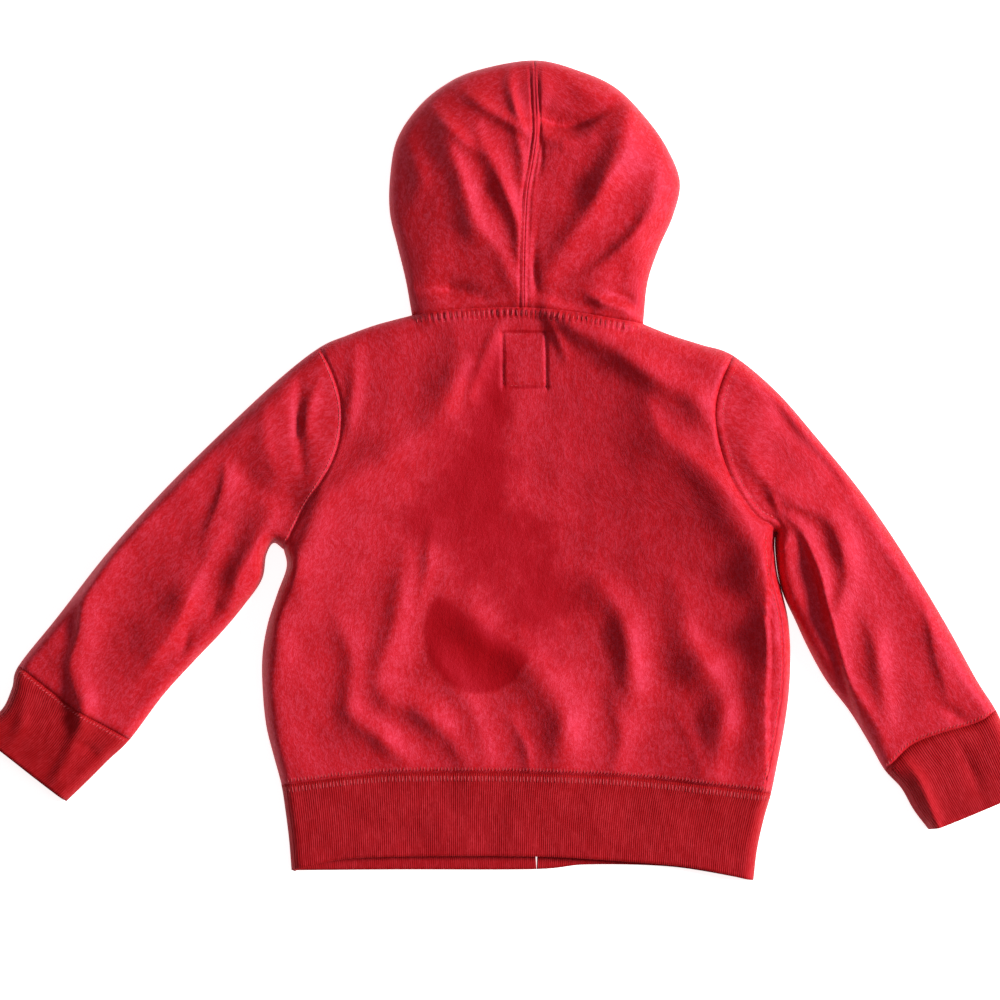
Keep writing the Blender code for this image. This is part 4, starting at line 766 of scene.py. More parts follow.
class Relief:
    """Everything that stands on or sinks into the upper layer besides its loft."""

    def __init__(self) -> None:
        """Set out the folds, the seams and the sewing."""
        self.folds = Folds(RIDGES)
        self.ripples = (Ripple(0.034, 0.00025, 21), Ripple(0.013, 0.00005, 22), Ripple(0.0058, 0.00003, 23))
        self.ledge = Curve(SLEEVE_LEDGE)
        neck = Curve(NECK_SEAM)
        hood = Curve(HOOD_SEAM + mm((21.2, 260)))
        arm_right = Curve(ARMHOLE_RIGHT)
        self.lines = [
            Line(neck, 0.0013, -0.0016),
            Line(neck.shifted(-0.0072), 0.0010, -0.0007),
            Line(hood, 0.0007, -0.0004),
            Line(hood.shifted(0.0024), 0.0008, -0.0013),
            Line(hood.shifted(-0.0024), 0.0008, -0.0011),
            Line(hood, 0.0046, 0.0009),
            Line(Curve(ARMHOLE_LEFT), 0.0013, -0.0012),
            Line(arm_right, 0.0014, -0.0017),
            Line(arm_right.shifted(0.0050), 0.0011, -0.0007),
            Line(Curve(HEM_SEAM), 0.0012, -0.0016),
            Line(Curve(HEM_SEAM).shifted(-0.0050), 0.0022, 0.0005),
            Line(Curve(CUFF_SEAM_LEFT), 0.0013, -0.0016),
            Line(Curve(CUFF_SEAM_RIGHT), 0.0013, -0.0016),
        ]
        self.lines += [Line(side, 0.0010, -0.0014) for side in label_sides()]
        self.puckers = (
            Pucker(neck, 0.0006, 0.0072, 0.0035, 0.00060),
            Pucker(Curve(HEM_SEAM).reversed(), 0.0006, 0.0044, 0.0024, 0.00010),
        )

    def step(self, points: Array) -> Array:
        """How far the lower strip of the right sleeve lies under the rest, from 0 to 1.

        Args:
            points: Plane points, one a row.

        Returns:
            A share for each.
        """
        left, right, top = LEDGE_BOX
        close = (points[:, 0] > left) & (points[:, 0] < right) & (points[:, 1] < top)
        share = np.zeros(len(points))
        if close.any():
            near = Nearest.to(self.ledge, points[close])
            reach = near.side * near.gap
            ends = eased(near.share / LEDGE_ENDS[0]) * eased((1.0 - near.share) / LEDGE_ENDS[1])
            share[close] = ends * eased((reach + LEDGE_BEFORE) / LEDGE_WIDTH)
        return share

    def at(self, points: Array) -> tuple[Array, Array]:
        """The large relief, which fades towards folded edges, and the small one, which doesn't."""
        large = self.folds.at(points) + sum(ripple.at(points) for ripple in self.ripples)
        small = sum(line.at(points) for line in self.lines) + sum(pucker.at(points) for pucker in self.puckers)
        return large, small


class Cloth:
    """The shape that the whole garment lies in."""

    def __init__(self, edges: Iterable[Curve]) -> None:
        """Set up the surface between its folded edges."""
        self.edges = FoldedEdges(edges)
        self.loft = Loft(LOFT)
        self.relief = Relief()

    def shape(self, points: Array, low: Array, thickness: float) -> tuple[Array, Array]:
        """Lay a wall of cloth over or under some places.

        Args:
            points: Plane points, one a row.
            low: For each whether it is on the lower layer.
            thickness: The thickness of the cloth.

        Returns:
            The outer and the inner points.
        """
        near, way = self.edges.distance(points)
        high, width = self.loft.at(points)
        part = np.clip(near / width, 0.0, 1.0)
        tight = np.clip(near / np.minimum(EDGE_ROUND, width), 0.0, 1.0)
        slope = EDGE_SHARE * np.sqrt(1.0 - (1.0 - tight) ** 2) + (1.0 - EDGE_SHARE) * (1.0 - (1.0 - part) ** 2)
        large, small = self.relief.at(points)
        crease = large * slope + small * eased(near / EDGE_FADE)
        least = 2.0 * thickness + LAYER_GAP
        dropped = self.relief.step(points)
        high = high - dropped * np.minimum(LEDGE_DROP, 0.5 * (high - least))
        crease = crease * (1.0 - 0.5 * dropped)
        outer_z = FOLD_RADIUS + (high - FOLD_RADIUS) * slope + crease
        outer_z = np.maximum(outer_z, np.minimum(least, FOLD_RADIUS + near))
        inner_z = FOLD_RADIUS + (high - thickness - FOLD_RADIUS) * slope + crease
        inner_z = np.maximum(inner_z, min(thickness + LAYER_GAP, FOLD_RADIUS))
        turn = np.clip(1.0 - near / FOLD_RADIUS, 0.0, 1.0)
        low_z = FOLD_RADIUS * (1.0 - np.sqrt(1.0 - turn**2))
        low_inner_z = FOLD_RADIUS - (FOLD_RADIUS - low_z) * (1.0 - thickness / FOLD_RADIUS)
        shift = thickness * np.where(low, turn, 1.0 - part)
        outer = np.column_stack([points, np.where(low, low_z, outer_z)])
        inner = np.column_stack([points - way * shift[:, None], np.where(low, low_inner_z, inner_z)])
        return outer, inner

    def top(self, points: Array) -> Array:
        """The height of the upper layer at each place."""
        return self.shape(points, np.zeros(len(points), bool), FLEECE_WALL)[0][:, 2]

    def up(self, points: Array, step: float = 0.0008) -> Array:
        """The unit vector that stands on the upper layer at each place.

        Args:
            points: Plane points, one a row.
            step: How far apart two heights are taken for a slope.

        Returns:
            The vectors, one a row.
        """
        here = self.top(points)
        slope_x = (self.top(points + (step, 0.0)) - here) / step
        slope_y = (self.top(points + (0.0, step)) - here) / step
        normal = np.column_stack([-slope_x, -slope_y, np.ones(len(points))])
        return normal / np.linalg.norm(normal, axis=1, keepdims=True)


def spread(length: float, count: int, start: Sequence[float] = (0.0,), end: Sequence[float] = (0.0,)) -> Array:
    """Shares of a line: the insets from its ends, and even steps between them.

    Args:
        length: The length of the line.
        count: How many shares there are.
        start: Distances from its start.
        end: Distances from its end, the nearest first.

    Returns:
        The shares, from 0 to 1.
    """
    first = np.array(start) / length
    last = 1.0 - np.array(end)[::-1] / length
    between = np.linspace(first[-1], last[0], count - len(first) - len(last) + 2)[1:-1]
    return np.concatenate([first, between, last])


def clock(length: float, step: float, start: Sequence[float] = (0.0,), end: Sequence[float] = (0.0,)) -> Array:
    """The same shares as spread gives, as many as put the even places about a step apart."""
    even = max(2, round((length - start[-1] - end[-1]) / step) - 1)
    return spread(length, even + len(start) + len(end), start, end)


def aside(line: Array, side: float) -> Array:
    """The points of a line, each moved by half the seam gap to the left (1) or the right (-1) of its run."""
    return line + side * SEAM_GAP / 2.0 * left_of(line)


def chord_shares(line: Array) -> Array:
    """How far along its length each point of a line lies."""
    steps = np.linalg.norm(np.diff(line, axis=0), axis=1)
    return np.concatenate([[0.0], np.cumsum(steps)]) / steps.sum()


def patch(first: Array, last: Array, left: Array, right: Array) -> Array:
    """A grid of plane points between four rows of points.

    Args:
        first: The row from left to right at the start.
        last: The row from left to right at the end.
        left: The row from first to last on the left.
        right: The row from first to last on the right.

    Returns:
        The grid, its rows running from first to last.
    """
    start, end = chord_shares(first)[None, :], chord_shares(last)[None, :]
    near, far = chord_shares(left)[:, None], chord_shares(right)[:, None]
    across = (start * (1.0 - near) + end * near)[..., None]
    down = (near * (1.0 - start) + far * start)[..., None]
    grid = (1.0 - down) * first[None, :] + down * last[None, :]
    grid = grid + (1.0 - across) * left[:, None] + across * right[:, None]
    grid = grid - (1.0 - across) * ((1.0 - down) * first[0] + down * last[0])
    return grid - across * ((1.0 - down) * first[-1] + down * last[-1])


def meet(first: Array, last: Array, left: Array, right: Array, corners: Sequence[Any]) -> Array:
    """A patch between four rows whose ends are first drawn together.

    Args:
        first: The row at the start.
        last: The row at the end.
        left: The row on the left.
        right: The row on the right.
        corners: The true corners, which both rows of each were moved from.

    Returns:
        The grid.
    """
    first, last, left, right = (line.copy() for line in (first, last, left, right))
    for (row, at), (column, end), corner in (
        ((first, 0), (left, 0), corners[0]),
        ((first, -1), (right, 0), corners[1]),
        ((last, 0), (left, -1), corners[2]),
        ((last, -1), (right, -1), corners[3]),
    ):
        place = row[at] + column[end] - np.array(corner)
        row[at] = place
        column[end] = place
    return patch(first, last, left, right)


def grid_quads(rows: int, columns: int, closed: bool = False) -> Array:
    """The faces of a grid of points, each as four numbers.

    Args:
        rows: How many rows it has.
        columns: How many columns it has.
        closed: Whether the last column joins the first.

    Returns:
        The faces, one a row.
    """
    width = columns if closed else columns - 1
    row, column = np.meshgrid(np.arange(rows - 1), np.arange(width), indexing="ij")
    a = (row * columns + column).ravel()
    b = (row * columns + (column + 1) % columns).ravel()
    return np.column_stack([a, b, b + columns, a + columns])


def cloth_uv(grid: Array) -> Array:
    """A place in metres on the flat cloth for each point of a grid.

    Args:
        grid: Plane points in rows and columns.

    Returns:
        The places, one a row.
    """
    across = np.linalg.norm(np.diff(grid, axis=1), axis=2).mean(axis=0)
    along = np.linalg.norm(np.diff(grid, axis=0), axis=2).mean(axis=1)
    u = np.concatenate([[0.0], np.cumsum(across)])
    v = np.concatenate([[0.0], np.cumsum(along)])
    return np.stack(np.meshgrid(u, v), axis=-1).reshape(-1, 2)


# ---------------------------------------------------------------------------------------------------------------
# Node trees
# ---------------------------------------------------------------------------------------------------------------


def put(node: Node, name: Any, value: Any) -> None:
    """Set an input of a node, by its name or number, or feed it from the socket given as its value.

    Args:
        node: The node.
        name: The name or number of the input.
        value: Its value, or the socket that feeds it.
    """
    if isinstance(value, Socket):
        node.id_data.links.new(value, node.inputs[name])
    else:
        node.inputs[name].default_value = value


def settle(node: Node, **values: Any) -> None:
    """Set or feed some inputs of a node. An underscore in a name stands for a space."""
    for name, value in values.items():
        put(node, name.replace("_", " "), value)


class Wiring:
    """Adds and joins the nodes of one tree."""

    def __init__(self, tree: NodeTree) -> None:
        """Work on this tree."""
        self.tree = tree

    def add(self, kind: str, inputs: dict[Any, Any] | None = None, **settings: Any) -> Node:
        """Add a node.

        Args:
            kind: The node's type name.
            inputs: Sockets by name or number, each with a value or the socket that feeds it.
            **settings: The node's own properties.

        Returns:
            The node.
        """
        node = self.tree.nodes.new(kind)
        for name, value in settings.items():
            setattr(node, name, value)
        for name, value in (inputs or {}).items():
            put(node, name, value)
        return node

    def math(self, operation: str, first: Any, second: Any = 0.0, third: Any = 0.0) -> Socket:
        """The result of a math node."""
        inputs = {0: first, 1: second, 2: third}
        return self.add("ShaderNodeMath", inputs, operation=operation).outputs[0]

    def times(self, first: Any, second: Any) -> Socket:
        """The product of two numbers."""
        return self.math("MULTIPLY", first, second)

    def xyz(self, x: Any, y: Any = 0.0, z: Any = 0.0) -> Socket:
        """A vector of three numbers."""
        return self.add("ShaderNodeCombineXYZ", {0: x, 1: y, 2: z}).outputs[0]

    def vector(self, operation: str, first: Any, second: Any) -> Socket:
        """The result of a vector math node."""
        return self.add("ShaderNodeVectorMath", {0: first, 1: second}, operation=operation).outputs[0]

    def noise(self, place: Socket, scale: Any, detail: float, roughness: float = 0.5, out: str = "Fac") -> Socket:
        """Noise over a place."""
        inputs = {"Vector": place, "Scale": scale, "Detail": detail, "Roughness": roughness}
        return self.add("ShaderNodeTexNoise", inputs).outputs[out]

    def waves(self, place: Socket, scale: float, distortion: float, way: str) -> Socket:
        """Bands across a place."""
        inputs = {"Vector": place, "Scale": scale, "Distortion": distortion}
        return self.add("ShaderNodeTexWave", inputs, bands_direction=way).outputs["Fac"]

    def remap(self, value: Socket, low: Any, high: Any, *ends: float, kind: str = "LINEAR") -> Socket:
        """A number taken from one range to another, which is 0 to 1 if no ends are given."""
        start, end = ends or (0.0, 1.0)
        inputs = {0: value, 1: low, 2: high, 3: start, 4: end}
        return self.add("ShaderNodeMapRange", inputs, interpolation_type=kind).outputs[0]

    def blend(self, share: Any, first: Any, second: Any) -> Socket:
        """The result of mixing two colours by a share.

        Args:
            share: How much there is of the second.
            first: A colour, or its socket.
            second: A colour, or its socket.

        Returns:
            The mixed colour.
        """
        node = self.add("ShaderNodeMix", data_type="RGBA")
        for index, value in ((0, share), (6, first), (7, second)):
            put(node, index, (*value, 1.0) if isinstance(value, tuple) else value)
        return node.outputs[2]

    def bump(self, height: Socket, strength: float, distance: float) -> Socket:
        """The normal of a fine relief."""
        inputs = {"Height": height, "Strength": strength, "Distance": distance}
        return self.add("ShaderNodeBump", inputs).outputs[0]

    def group(self, tree: NodeTree, place: Socket, **values: float) -> Any:
        """The outputs of a node group that works on a place."""
        node = self.add("ShaderNodeGroup", node_tree=tree)
        settle(node, Vector=place, **values)
        return node.outputs

    def object_place(self) -> Socket:
        """The place in object space."""
        return self.add("ShaderNodeTexCoord").outputs["Object"]

    def cloth_place(self) -> Socket:
        """The place on the flat cloth."""
        return self.add("ShaderNodeUVMap", uv_map="cloth").outputs[0]


def shader_group(name: str, inputs: dict[str, float], *outputs: str) -> tuple[Wiring, Any, Node]:
    """Start a shader node group that works on a place, its Vector.

    Args:
        name: The name of the group.
        inputs: The other numbers that it takes, with their values.
        *outputs: The names of the numbers that it gives.

    Returns:
        The wiring of the group, the sockets that it is given and its output node.
    """
    tree = bpy.data.node_groups.new(name, "ShaderNodeTree")
    tree.interface.new_socket("Vector", in_out="INPUT", socket_type="NodeSocketVector")
    for label, value in inputs.items():
        tree.interface.new_socket(label, in_out="INPUT", socket_type="NodeSocketFloat").default_value = value
    for label in outputs:
        tree.interface.new_socket(label, in_out="OUTPUT", socket_type="NodeSocketFloat")
    wiring = Wiring(tree)
    return wiring, wiring.add("NodeGroupInput").outputs, wiring.add("NodeGroupOutput")


def nap_group() -> NodeTree:
    """The short fibres of brushed cloth: flecks, soft clouds and a height, all over its own flat cloth.

    Returns:
        The group.
    """
    values = {"Fibre": 1350.0, "Length": 0.45, "Cloud": 60.0}
    wiring, given, out = shader_group("brushed nap", values, "Fleck", "Clouds", "Height")
    place = given["Vector"]
    along = wiring.vector("MULTIPLY", place, wiring.xyz(1.0, given["Length"], 1.0))
    warp = wiring.noise(place, 260.0, 1.0, out="Color")
    moved = wiring.vector("ADD", along, wiring.vector("MULTIPLY", warp, (0.0016,) * 3))
    fibre = wiring.noise(moved, given["Fibre"], 3.0, 0.62)
    tuft = wiring.noise(moved, wiring.times(given["Fibre"], 0.42), 2.0)
    both = wiring.math("MULTIPLY_ADD", fibre, 0.55, wiring.times(tuft, 0.45))
    fleck = wiring.remap(both, 0.36, 0.66, kind="SMOOTHSTEP")
    clouds = wiring.remap(wiring.noise(place, given["Cloud"], 3.0, 0.55), 0.35, 0.68)
    settle(out, Fleck=fleck, Clouds=clouds, Height=both)
    return wiring.tree


def rib_group() -> NodeTree:
    """The wales of a rib knit: a mask of their crowns and a height with the stitches along them.

    Returns:
        The group.
    """
    wiring, given, out = shader_group("rib wales", {"Pitch": RIB_PITCH, "Course": 0.0011}, "Crown", "Height")
    drift = wiring.noise(given["Vector"], 120.0, 1.0)
    parts = wiring.add("ShaderNodeSeparateXYZ", {0: given["Vector"]}).outputs
    bent = wiring.math("MULTIPLY_ADD", drift, 0.0005, parts[0])
    turn = wiring.times(wiring.math("DIVIDE", bent, given["Pitch"]), 2.0 * math.pi)
    crown = wiring.math("MULTIPLY_ADD", wiring.math("COSINE", turn), 0.5, 0.5)
    course = wiring.times(wiring.math("DIVIDE", parts[1], given["Course"]), 2.0 * math.pi)
    loops = wiring.math("MULTIPLY_ADD", wiring.math("SINE", wiring.math("ADD", course, turn)), 0.5, 0.5)
    settle(out, Crown=crown, Height=wiring.math("MULTIPLY_ADD", loops, 0.25, crown))
    return wiring.tree


def patch_group() -> NodeTree:
    """A patch of deeper colour with a cloudy outline, round a centre in object space, for a stain and for painted
    shade.

    Returns:
        The group.
    """
    values = {
        "X": 0.0, "Y": 0.0, "Half width": 0.03, "Half height": 0.03, "Ragged": 0.3, "Soft": 0.15,
        "Cut X": 0.0, "Cut Y": 0.0, "Cut at": 1.0,
    }
    wiring, given, out = shader_group("stain and shade patch", values, "Mask")
    parts = wiring.add("ShaderNodeSeparateXYZ", {0: given["Vector"]}).outputs
    x = wiring.math("DIVIDE", wiring.math("SUBTRACT", parts[0], given["X"]), given["Half width"])
    y = wiring.math("DIVIDE", wiring.math("SUBTRACT", parts[1], given["Y"]), given["Half height"])
    far = wiring.math("SQRT", wiring.math("ADD", wiring.times(x, x), wiring.times(y, y)))
    noise = wiring.noise(given["Vector"], 55.0, 4.0, 0.6)
    ragged = wiring.times(wiring.math("SUBTRACT", noise, 0.5), given["Ragged"])
    edge = wiring.math("ADD", far, wiring.times(ragged, 4.0))
    inside = wiring.math("SUBTRACT", 1.0, given["Soft"])
    outside = wiring.math("ADD", 1.0, given["Soft"])
    mask = wiring.remap(edge, inside, outside, 1.0, 0.0, kind="SMOOTHSTEP")
    past_y = wiring.math("MULTIPLY_ADD", y, given["Cut Y"], wiring.times(ragged, 0.6))
    past = wiring.math("ADD", wiring.times(x, given["Cut X"]), past_y)
    beyond = wiring.math("SUBTRACT", past, given["Cut at"])
    kept = wiring.remap(beyond, 0.0, 0.28, 1.0, 0.0, kind="SMOOTHSTEP")
    settle(out, Mask=wiring.times(mask, kept))
    return wiring.tree


class Groups:
    """The shader groups, each built once."""

    def __init__(self) -> None:
        """Build them all."""
        self.nap = nap_group()
        self.rib = rib_group()
        self.patch = patch_group()


def blank(name: str) -> tuple[Material, Wiring, Node]:
    """A new material, its wiring and its Principled shader."""
    material = bpy.data.materials.new(name)
    material.use_nodes = True
    wiring = Wiring(material.node_tree)
    return material, wiring, material.node_tree.nodes["Principled BSDF"]


class Finish:
    """A look that a piece can have."""

    name: str

    def wire(self, wiring: Wiring, shader: Node, groups: Groups) -> None:
        """Set and feed the shader.

        Args:
            wiring: The wiring of the material.
            shader: Its Principled shader.
            groups: The shader groups that it may use.
        """
        raise NotImplementedError

    def material(self, groups: Groups) -> Material:
        """The finish as a material.

        Args:
            groups: The shader groups that it may use.

        Returns:
            The material.
        """
        material, wiring, shader = blank(self.name)
        self.wire(wiring, shader, groups)
        return material


@dataclass(frozen=True)
class Patch:
    """A place on the cloth coloured a deeper red, for a stain and for painted shade.

    It is an ellipse with a ragged or soft outline. A line square to `cut` cuts it off at the third value, in
    shares of the ellipse's half sizes from its centre.
    """

    x: float
    y: float
    half_width: float
    half_height: float
    ragged: float
    soft: float
    strength: float
    cut: tuple[float, float, float] = (0.0, 0.0, 9.0)


STAINS_AND_PAINTED_SHADE = (
    # the stain on the lower back
    Patch(-0.0140, -0.1045, 0.0355, 0.0380, 0.04, 0.06, 1.00, (0.52, 0.85, 0.06)),
    # painted shadow lines along the top and the bottom side of the stitched rectangle
    Patch(0.0145, 0.0883, 0.0146, 0.0011, 0.03, 0.60, 0.90),
    Patch(0.0145, 0.0531, 0.0146, 0.0013, 0.03, 0.60, 1.00),
    # a deeper, purer red over the middle of the back
    Patch(-0.0080, 0.0200, 0.0150, 0.0620, 0.55, 0.55, 1.00),
    Patch(-0.0180, -0.0120, 0.0300, 0.0380, 0.60, 0.60, 0.95),
    Patch(-0.0300, -0.0330, 0.0300, 0.0170, 0.55, 0.60, 0.85),
    Patch(0.0060, -0.0500, 0.0340, 0.0360, 0.60, 0.55, 0.90),
    Patch(0.0250, -0.0850, 0.0260, 0.0300, 0.60, 0.60, 0.90),
    # painted shade over the right half of the back and over the shaded flank of the rim along the right side
    Patch(0.0760, -0.0200, 0.0600, 0.0700, 0.40, 1.00, 0.26),
    Patch(0.1480, -0.0950, 0.0240, 0.0760, 0.30, 1.00, 0.28),
)


@dataclass(frozen=True)
class Fleece(Finish):
    """Brushed sweatshirt fleece."""

    name: str = "brushed fleece"
    deep: Colour = (0.445, 0.0040, 0.0046)
    body: Colour = (0.540, 0.0068, 0.0082)
    light: Colour = (0.680, 0.0520, 0.0900)
    stained_and_shaded: Colour = (0.390, 0.0002, 0.0003)
    patches: tuple[Patch, ...] = ()

    def wire(self, wiring: Wiring, shader: Node, groups: Groups) -> None:
        """Fibres and clouds over one colour, with a stain and painted shade in a deeper red."""
        nap = wiring.group(groups.nap, wiring.cloth_place())
        base = wiring.blend(wiring.times(nap["Clouds"], 0.30), self.body, self.deep)
        lifted = wiring.times(wiring.math("POWER", nap["Fleck"], 1.5), 0.56)
        colour = wiring.blend(lifted, base, self.light)
        if self.patches:
            spot = wiring.object_place()
            mask: Any = 0.0
            for one in self.patches:
                part = wiring.group(
                    groups.patch, spot, X=one.x, Y=one.y, Half_width=one.half_width, Half_height=one.half_height,
                    Ragged=one.ragged, Soft=one.soft, Cut_X=one.cut[0], Cut_Y=one.cut[1], Cut_at=one.cut[2],
                )["Mask"]
                mask = wiring.math("MAXIMUM", mask, wiring.times(part, one.strength))
            # the stain's colour with a few flecks; the same colour paints the shade of the patches that stand for
            # shade
            flat = wiring.blend(wiring.times(nap["Fleck"], 0.16), self.stained_and_shaded, self.body)
            colour = wiring.blend(wiring.times(mask, 0.95), colour, flat)
        settle(shader, Base_Color=colour, Normal=wiring.bump(nap["Height"], 0.55, 0.0008))
        settle(shader, Sheen_Weight=0.05, Sheen_Roughness=0.45, Sheen_Tint=(1.0, 0.30, 0.50, 1.0))
        settle(shader, Roughness=0.54, Specular_IOR_Level=0.30, Specular_Tint=(1.0, 0.32, 0.72, 1.0))


@dataclass(frozen=True)
class Rib(Finish):
    """Rib knit of the bands."""

    name: str = "rib knit"
    valley_shade: Colour = (0.320, 0.0028, 0.0030)
    crown: Colour = (0.410, 0.0050, 0.0056)
    light: Colour = (0.580, 0.0280, 0.0380)

    def wire(self, wiring: Wiring, shader: Node, groups: Groups) -> None:
        """Wales with a light nap, and painted shade in the hollows between them."""
        place = wiring.cloth_place()
        rib = wiring.group(groups.rib, place)
        nap = wiring.group(groups.nap, place, Fibre=1100.0, Length=0.25, Cloud=70.0)
        # painted shade: the hollows between the wales are coloured darker than their crowns
        base = wiring.blend(rib["Crown"], self.valley_shade, self.crown)
        base = wiring.blend(wiring.times(nap["Clouds"], 0.12), base, self.valley_shade)
        lifted = wiring.times(wiring.math("POWER", nap["Fleck"], 1.6), 0.38)
        height = wiring.math("MULTIPLY_ADD", rib["Height"], 0.5, wiring.times(nap["Height"], 0.8))
        settle(shader, Base_Color=wiring.blend(lifted, base, self.light), Normal=wiring.bump(height, 0.5, 0.0005))
        settle(shader, Roughness=0.65, Sheen_Weight=0.06, Sheen_Roughness=0.45, Sheen_Tint=(1.0, 0.42, 0.56, 1.0))
        settle(shader, Specular_IOR_Level=0.22, Specular_Tint=(1.0, 0.34, 0.62, 1.0))


@dataclass(frozen=True)
class Thread(Finish):
    """Sewing thread."""

    name: str = "sewing thread"
    dark: Colour = (0.38, 0.014, 0.020)
    light: Colour = (0.70, 0.080, 0.105)

    def wire(self, wiring: Wiring, shader: Node, groups: Groups) -> None:
        """Twisted yarn."""
        spot = wiring.object_place()
        share = wiring.remap(wiring.noise(spot, 420.0, 2.0), 0.3, 0.7)
        twist = wiring.bump(wiring.waves(spot, 900.0, 0.4, "DIAGONAL"), 0.4, 0.0001)
        settle(shader, Base_Color=wiring.blend(share, self.dark, self.light), Normal=twist)
        settle(shader, Roughness=0.6, Specular_IOR_Level=0.35)


@dataclass(frozen=True)
class Tape(Finish):
    """Woven zip tape, or the moulded teeth on it."""

    name: str = "woven zip tape"
    dark: Colour = (0.20, 0.003, 0.005)
    light: Colour = (0.36, 0.012, 0.018)
    waves: float = 5200.0 / 6.0
    roughness: float = 0.8

    def wire(self, wiring: Wiring, shader: Node, groups: Groups) -> None:
        """A fine weave."""
        spot = wiring.object_place()
        weave = wiring.waves(spot, self.waves, 0.6, "Y")
        share = wiring.times(weave, wiring.noise(spot, 900.0, 2.0))
        colour = wiring.blend(share, self.dark, self.light)
        settle(shader, Base_Color=colour, Normal=wiring.bump(weave, 0.4, 0.0001))
        settle(shader, Roughness=self.roughness, Specular_IOR_Level=0.3)


@dataclass(frozen=True)
class Metal(Finish):
    """Tumbled zinc of the slider and its tab."""

    name: str = "tumbled zinc"
    bright: Colour = (0.66, 0.66, 0.68)
    dull: Colour = (0.40, 0.40, 0.42)

    def wire(self, wiring: Wiring, shader: Node, groups: Groups) -> None:
        """Brushed lines, worn dull in places."""
        spot = wiring.object_place()
        wear = wiring.noise(spot, 700.0, 4.0)
        brushed = wiring.add("ShaderNodeMapping", {"Vector": spot, "Scale": (6000.0, 400.0, 6000.0)}).outputs[0]
        settle(shader, Base_Color=wiring.blend(wear, self.bright, self.dull))
        settle(shader, Roughness=wiring.math("MULTIPLY_ADD", wear, 0.25, 0.22))
        settle(shader, Normal=wiring.bump(wiring.noise(brushed, 1.0, 2.0), 0.15, 0.00005))
        settle(shader, Metallic=1.0)


# ---------------------------------------------------------------------------------------------------------------
# Cloth pieces
# ---------------------------------------------------------------------------------------------------------------


@dataclass
class Surface:
    """A grid of cloth before it gets its wall."""

    outer: Array
    inner: Array
    quads: Array
    uv: Array


def walled(name: str, surface: Surface, material: Material) -> Item:
    """Close an outer and an inner surface round their rims.

    Args:
        name: The name of the piece.
        surface: Its points, faces and places on the flat cloth.
        material: Its finish.

    Returns:
        The piece.
    """
    count = len(surface.outer)
    quads = surface.quads
    sides = np.concatenate([quads[:, [k, (k + 1) % 4]] for k in range(4)])
    key = np.sort(sides, axis=1)
    key = key[:, 0].astype(np.int64) * count + key[:, 1]
    _, first, uses = np.unique(key, return_index=True, return_counts=True)
    rim = sides[first[uses == 1]]
    edge = np.column_stack([rim[:, 1], rim[:, 0], rim[:, 0] + count, rim[:, 1] + count])
    faces = np.concatenate([quads, quads[:, ::-1] + count, edge])
    data = bpy.data.meshes.new(name)
    data.from_pydata(np.vstack([surface.outer, surface.inner]).tolist(), [], faces.tolist())
    layer = data.uv_layers.new(name="cloth")
    corner = np.empty(len(data.loops), np.int32)
    data.loops.foreach_get("vertex_index", corner)
    uv = np.vstack([surface.uv, surface.uv + INSIDE_UV])[corner]
    layer.data.foreach_set("uv", uv.astype(np.float32).ravel())
    mesh = bmesh.new()
    mesh.from_mesh(data)
    for vertex in [vertex for vertex in mesh.verts if not vertex.link_faces]:
        mesh.verts.remove(vertex)
    bmesh.ops.recalc_face_normals(mesh, faces=mesh.faces)
    for face in mesh.faces:
        face.smooth = True
    mesh.to_mesh(data)
    mesh.free()
    data.materials.append(material)
    return shown(name, data)


